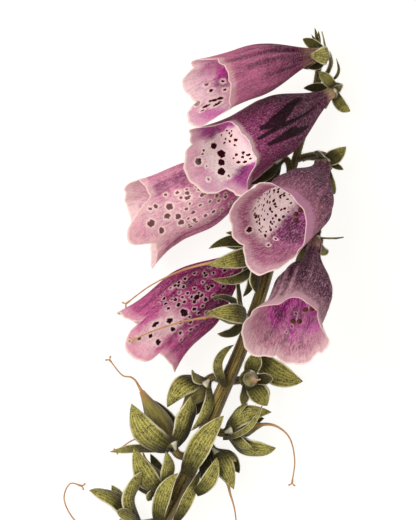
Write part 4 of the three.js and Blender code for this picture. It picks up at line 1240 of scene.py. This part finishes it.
HAIRS = {"pale": [], "petal": []}


def grow(coat, roots, directions, length, spread=0.5, radius=0.028):
    """Keeps places for hairs: each leans at random from its direction."""
    count = len(roots)
    directions = unit(directions + rng.normal(0, spread, (count, 3)))
    lengths = length * rng.uniform(0.45, 1.15, count)
    HAIRS[coat].append((roots, directions, lengths, np.full(count, radius)))


def add_hairs(name, coat, material):
    """One mesh of thin three-sided spikes."""
    roots, directions, lengths, radii = (np.concatenate(part) for part in zip(*HAIRS[coat]))
    count = len(roots)
    first = square_to(np.array([0.31, 0.2, 0.93]), directions)
    second = np.cross(directions, first)
    points = []
    for corner in range(3):
        angle = corner * 2 * math.pi / 3
        ring = math.cos(angle) * first + math.sin(angle) * second
        points.append(roots - directions * 0.05 + ring * radii[:, None])
    points.append(roots + directions * lengths[:, None])
    points = np.stack(points, axis=1).reshape(-1, 3)
    start = np.arange(count)[:, None] * 4
    pattern = np.array([[0, 1, 3], [1, 2, 3], [2, 0, 3], [0, 2, 1]])
    faces = (start[:, None] + pattern[None]).reshape(-1, 3)
    tip = (faces % 4 == 3).astype(float).ravel()
    shape = np.stack([np.zeros(len(tip)), tip], axis=-1)
    skin = Skin()
    skin.points, skin.faces, skin.count = [points], faces.tolist(), len(points)
    size = np.repeat(np.arange(count) * 0.37 % 9.0, pattern.size)
    size = np.stack([size, size * 0.7], axis=-1)
    skin.corners = {"shape": [shape], "size": [size], "tone": [np.zeros_like(shape)]}
    skin.slots = [np.zeros(len(faces), dtype=int)]
    skin.build(name, [material], [])


def surface_sites(rings, count):
    """Random points on a grid of rings and their outward normals."""
    rows, sides = rings.shape[:2]
    row = rng.uniform(0, rows - 1.001, count)
    side = rng.uniform(0, sides, count)
    r, s = row.astype(int), side.astype(int)
    a = rings[r, s]
    b = rings[r, (s + 1) % sides]
    c = rings[r + 1, s]
    spot = a + (b - a) * (side - s)[:, None] + (c - a) * (row - r)[:, None]
    return spot, unit(np.cross(b - a, c - a))


# ---------------------------------------------------------------- assembly

sepal_green = leaf_material(
    "sepal_green", dark=srgb(80, 72, 20), light=srgb(166, 158, 50), vein=srgb(238, 226, 138),
    margin=srgb(250, 242, 208), shade=srgb(24, 14, 4),
)
stem_green = stem_material(
    dark=srgb(72, 50, 16), light=srgb(168, 146, 70), pale=srgb(170, 154, 88), shade=srgb(26, 14, 4)
)
capsule_green = capsule_material(
    foot=srgb(52, 38, 20), dark=srgb(70, 60, 26), light=srgb(150, 140, 70), style=srgb(206, 158, 104),
    style_dark=srgb(164, 104, 60),
)
style_tan = rod_material("style_tan", srgb(212, 170, 120), srgb(168, 110, 66))
filament_pale = rod_material("filament_pale", srgb(232, 206, 216), srgb(206, 160, 188), 0.4)
anther_tan = rod_material("anther_tan", srgb(96, 50, 36), srgb(34, 12, 12), 0.02)
pale_hair = hair_material("pale_hair", srgb(196, 186, 140), srgb(244, 236, 208))
petal_hair = hair_material("petal_hair", srgb(214, 178, 196), srgb(246, 228, 232))

stem = Skin()
stem_line = spline([vec(point) for point in STEM_PATH])


def add_stem(rows=170, sides=30):
    """The flowering stem, lightly ribbed."""
    shares = np.linspace(0, 1, rows)
    radii = np.interp(shares * (len(STEM_PATH) - 1), range(len(STEM_PATH)), [point[3] for point in STEM_PATH])
    turn, share = np.meshgrid(np.arange(sides) * 2 * math.pi / sides, shares)
    ribs = 1 + sum(height * np.cos(count * turn + twist * share) for count, height, twist in STEM_RIBS)
    rings = tube(along_line(stem_line, shares), radii[:, None] * ribs, sides)
    stem.loft(rings, *rod_layers(rings, 150.0))
    grow("pale", *surface_sites(rings, STEM_FUZZ), STEM_FUR)


def add_stalk(joint, base, axis, radius, route=None, rows=26, sides=16):
    """A short stalk from the stem into the foot of a receptacle."""
    end = base - axis * (CUP_TAIL + GAP)
    start = along_line(stem_line, [joint])[0]
    if route:
        line = spline([start, *(vec(point) for point in route), end])
    else:
        middle = end - axis * 0.45 * np.linalg.norm(end - start)
        line = bezier(start, middle, end, np.linspace(0, 1, 30))
    points = even_line(np.concatenate([line, [end + axis * 0.9]]), rows)
    swell = radius * (1 + 0.18 * smoothstep(0.3, 0.0, np.linspace(0, 1, rows)))
    stem.rod(points, swell, sides)
    grow("pale", *surface_sites(tube(points, swell, sides), STALK_FUZZ), STALK_FUR)


def add_calyx(name, base, axis, sepals, cup_tone, neck=1.0):
    skin = Skin()
    add_cup(skin, base, axis, cup_tone, neck)
    for inner, middle, tip, width, face in calyx_leaves(base, axis, sepals, neck):
        centre, side, up, half = add_leaf(skin, inner, middle, tip, width, face)
        for hand in (1, -1):
            pick = rng.integers(3, LEAF_ROWS - 1, SEPAL_FUZZ)
            outward, reach = side[pick] * hand, half[pick][:, None]
            edge = centre[pick] + outward * reach + up[pick] * reach * LEAF_RAISE
            grow("pale", edge, outward, SEPAL_FUR, 0.35, 0.022)
    radii = np.array([1.2, 2.6, 2.6]) * neck
    rings = tube(np.array([base - axis * 2.0, base, base + axis * 0.5]), radii, 16)
    grow("pale", *surface_sites(rings, CUP_FUZZ), CUP_FUR)
    skin.build(f"{name}_sepals", [sepal_green], [name])


def add_stamens(number, bell):
    skin = Skin()
    for root, (degrees, reach, spread) in zip(FILAMENT_ROOTS, bell.flower.get("anthers", ANTHERS)):
        stops = [bell.inside(0.08, root, 0.5), bell.inside(0.18, root, 0.42), bell.inside(0.34, root, 0.5)]
        points = even_line(spline([*stops, bell.inside(reach, degrees, spread)]), 16)
        skin.rod(points, np.linspace(*FILAMENT, 16), 8)
        along = unit(points[-1] - points[-2])
        across = np.cross(along, bell.lip)
        share = np.linspace(0, 1, 9)
        for hand in (1, -1):
            sideways = across * hand * (0.15 + ANTHER_LOBE * share)[:, None]
            swell = 0.12 + 0.62 * np.sin(math.pi * np.clip(share, 0.02, 0.98)) ** 0.6
            skin.rod(points[-1] + sideways + along * (0.5 * share ** 2)[:, None], swell, 10)
            skin.slots[-3:] = [np.ones(len(part), dtype=int) for part in skin.slots[-3:]]
    skin.build(f"stamens_{number}_fine", [filament_pale, anther_tan], [f"stamens_{number}"])


def add_pistil(number, bell):
    skin = Skin()
    stops = ((0, 0, 0), (0.1, 0, 0), (0.35, 180, 0.34), (0.78, 180, 0.6))
    path = spline([bell.inside(*stop) for stop in stops])
    share = np.linspace(0, 1, 30)
    ovary = OVARY * bell.neck / BELL_BASE
    radii = STYLE + ovary * smoothstep(0.22, 0.08, share) + 0.14 * smoothstep(0.96, 1.0, share)
    skin.rod(along_line(path, share), radii, 10)
    skin.build(f"pistil_{number}_fine", [style_tan], [f"pistil_{number}"])


def add_flower(number, flower, look):
    bell = Bell(flower)
    skin = Skin()
    outer = add_bell(skin, bell, look)
    sides = (("outside", False), ("inside", True))
    petals = [Petal(f"petal_{number}_{side}", look, bell, inner).paint() for side, inner in sides]
    skin.build(f"corolla_{number}_petal", petals, [f"corolla_{number}"])
    grow("petal", *surface_sites(outer, look["fuzz"]), look["fur"], 0.5, 0.02)
    add_stamens(number, bell)
    add_pistil(number, bell)
    add_calyx(f"calyx_{number}", bell.base, bell.axis, flower["sepals"], (0.45, 0.0), flower.get("neck", 1.0))
    add_stalk(flower["joint"], bell.base, bell.axis, flower.get("stalk", FLOWER_STALK), flower.get("route"))


def add_capsule(number, fruit, base, axis):
    """A young seed capsule with its dried style and forked stigma, in one rod."""
    tip = vec(fruit["tip"])
    neck = base + (tip - base) * CAPSULE_OUTLINE[-1][0]
    line = spline([neck, tip, *(vec(point) for point in fruit["style"])])
    body, steps = len(CAPSULE_OUTLINE), 12 + 9 * len(fruit["style"])
    style = along_line(line, np.linspace(0.02, 1, steps))
    points = np.concatenate([[base + (tip - base) * share for share, _ in CAPSULE_OUTLINE], style])
    thin = DRIED_STYLE + 0.3 * (1 - np.linspace(0, 1, steps)) ** 4
    thin[-3:] += 0.1
    radii = np.concatenate([[fruit["radius"] * width for _, width in CAPSULE_OUTLINE], thin])
    rings = tube(points, radii, 16, (0.2, 0.3, 1.0))
    skin = Skin()
    shape, size = rod_layers(rings, 20.0)
    shape[:body, :, 1] = np.linspace(0, 0.3, body)[:, None]
    shape[body:, :, 1] = np.linspace(0.3, 1.0, steps)[:, None]
    skin.loft(rings, shape, size)
    end = points[-1]
    along = unit(points[-1] - points[-3])
    across = unit(np.cross(along, vec((0.1, 0.2, 1.0))))
    for hand in (1, -1):
        steps = ((-0.2, 0.0), (0.4, 0.35), (0.7, 1.0))
        fork = np.array([end + along * ahead + across * hand * aside for ahead, aside in steps])
        skin.rod(even_line(fork, 6), [0.24, 0.22, 0.2, 0.22, 0.28, 0.16], 8)
        skin.corners["shape"][-3:] = [np.full_like(part, 0.9) for part in skin.corners["shape"][-3:]]
    skin.build(f"capsule_{number}_fine", [capsule_green], [f"capsule_{number}"])
    grow("pale", *surface_sites(rings[:body], CAPSULE_FUZZ), CAPSULE_FUR, 0.5, 0.022)


def add_fruit(number, fruit):
    base = vec(fruit["base"])
    axis = unit(vec(fruit["tip"]) - base)
    add_calyx(f"fruit_calyx_{number}", base, axis, fruit["sepals"], (0.0, 0.75))
    add_capsule(number, fruit, base, axis)
    add_stalk(fruit["joint"], base, axis, FRUIT_STALK)


def add_bract(number, bract):
    skin = Skin()
    root, middle, tip, face = (vec(bract[key]) for key in ("root", "middle", "tip", "face"))
    add_leaf(skin, root, middle, tip, bract["width"], face)
    skin.build(f"bract_{number}_leaf", [sepal_green], [f"bract_{number}"])


def add_tip_buds():
    skin = Skin()
    top = vec(STEM_PATH[0]) + np.array([-0.4, 1.4, 0.2])
    shoot = np.array([-0.2, 0.98, 0.05])
    face = np.array([0.1, 0.05, 1.0])
    skin.rod(even_line(np.array([top - shoot * 2.2, top + shoot * 2.6]), 8), np.linspace(0.9, 0.4, 8), 12)
    for bud in TIP_BUDS:
        tip = vec(bud)
        add_leaf(skin, top - shoot * 0.5, (top + tip) / 2, tip, bud[3], face, (0.0, 0.3))
    skin.build("tip_buds_leaves", [sepal_green], ["tip_buds"])


add_stem()
for number, (flower, look) in enumerate(zip(FLOWERS, LOOKS), 1):
    add_flower(number, flower, {**PLAIN_LOOK, **look})
for number, fruit in enumerate(FRUITS, 1):
    add_fruit(number, fruit)
for number, bract in enumerate(BRACTS, 1):
    add_bract(number, bract)
add_tip_buds()
stem.build("stem_fine", [stem_green], ["stem"])
add_hairs("stem_hairs", "pale", pale_hair)
add_hairs("petal_hairs", "petal", petal_hair)

# ---------------------------------------------------------------- floor, lights and camera


def add_floor():
    """A pale table that gives back some light of its own, so that it stays even."""
    n = Nodes("pale_floor")
    place = n.node("ShaderNodeTexCoord").outputs["Object"]
    colour = n.mix(n.noise(place, 3.0), srgb(250, 248, 244), srgb(255, 253, 249))
    matte = n.node("ShaderNodeBsdfDiffuse", {"Color": n.mix(FLOOR_GREY, colour, BLACK)}).outputs[0]
    light = n.node("ShaderNodeEmission", {"Color": colour, "Strength": FLOOR_GLOW}).outputs[0]
    both = n.node("ShaderNodeAddShader", {0: matte, 1: light}).outputs[0]
    n.tree.links.new(both, n.node("ShaderNodeOutputMaterial").inputs[0])
    n.material.cycles.emission_sampling = "NONE"
    mesh = bpy.data.meshes.new("floor")
    signs = ((-1, -1), (1, -1), (1, 1), (-1, 1))
    mesh.from_pydata([(x * FLOOR_REACH, y * FLOOR_REACH, 0) for x, y in signs], [], [(0, 1, 2, 3)])
    mesh.materials.append(n.material)
    floor = bpy.data.objects.new("floor", mesh)
    bpy.context.scene.collection.objects.link(floor)


def add_lights():
    world = bpy.data.worlds.new("studio")
    world.use_nodes = True
    background = world.node_tree.nodes["Background"]
    background.inputs[0].default_value = WORLD_TINT
    background.inputs[1].default_value = WORLD_STRENGTH
    bpy.context.scene.world = world
    lamp = bpy.data.lights.new("softbox", "AREA")
    lamp.energy = SOFTBOX_POWER
    lamp.size = SOFTBOX_SIZE
    softbox = bpy.data.objects.new("softbox", lamp)
    softbox.location = SOFTBOX_PLACE
    softbox.rotation_mode = "QUATERNION"
    softbox.rotation_quaternion = (-softbox.location).to_track_quat("-Z", "Y")
    bpy.context.scene.collection.objects.link(softbox)


def add_camera():
    """Straight above and far away, like the photograph."""
    lens = bpy.data.cameras.new("camera")
    lens.sensor_width = 36.0
    lens.lens = lens.sensor_width * CAMERA_HEIGHT / FRAME_HEIGHT
    lens.clip_end = 20.0
    camera = bpy.data.objects.new("camera", lens)
    camera.location = (*CAMERA_OVER, CAMERA_HEIGHT + CAMERA_LIFT)
    bpy.context.scene.collection.objects.link(camera)
    bpy.context.scene.camera = camera


add_floor()
add_lights()
add_camera()
bpy.context.scene.view_settings.view_transform = "Standard"
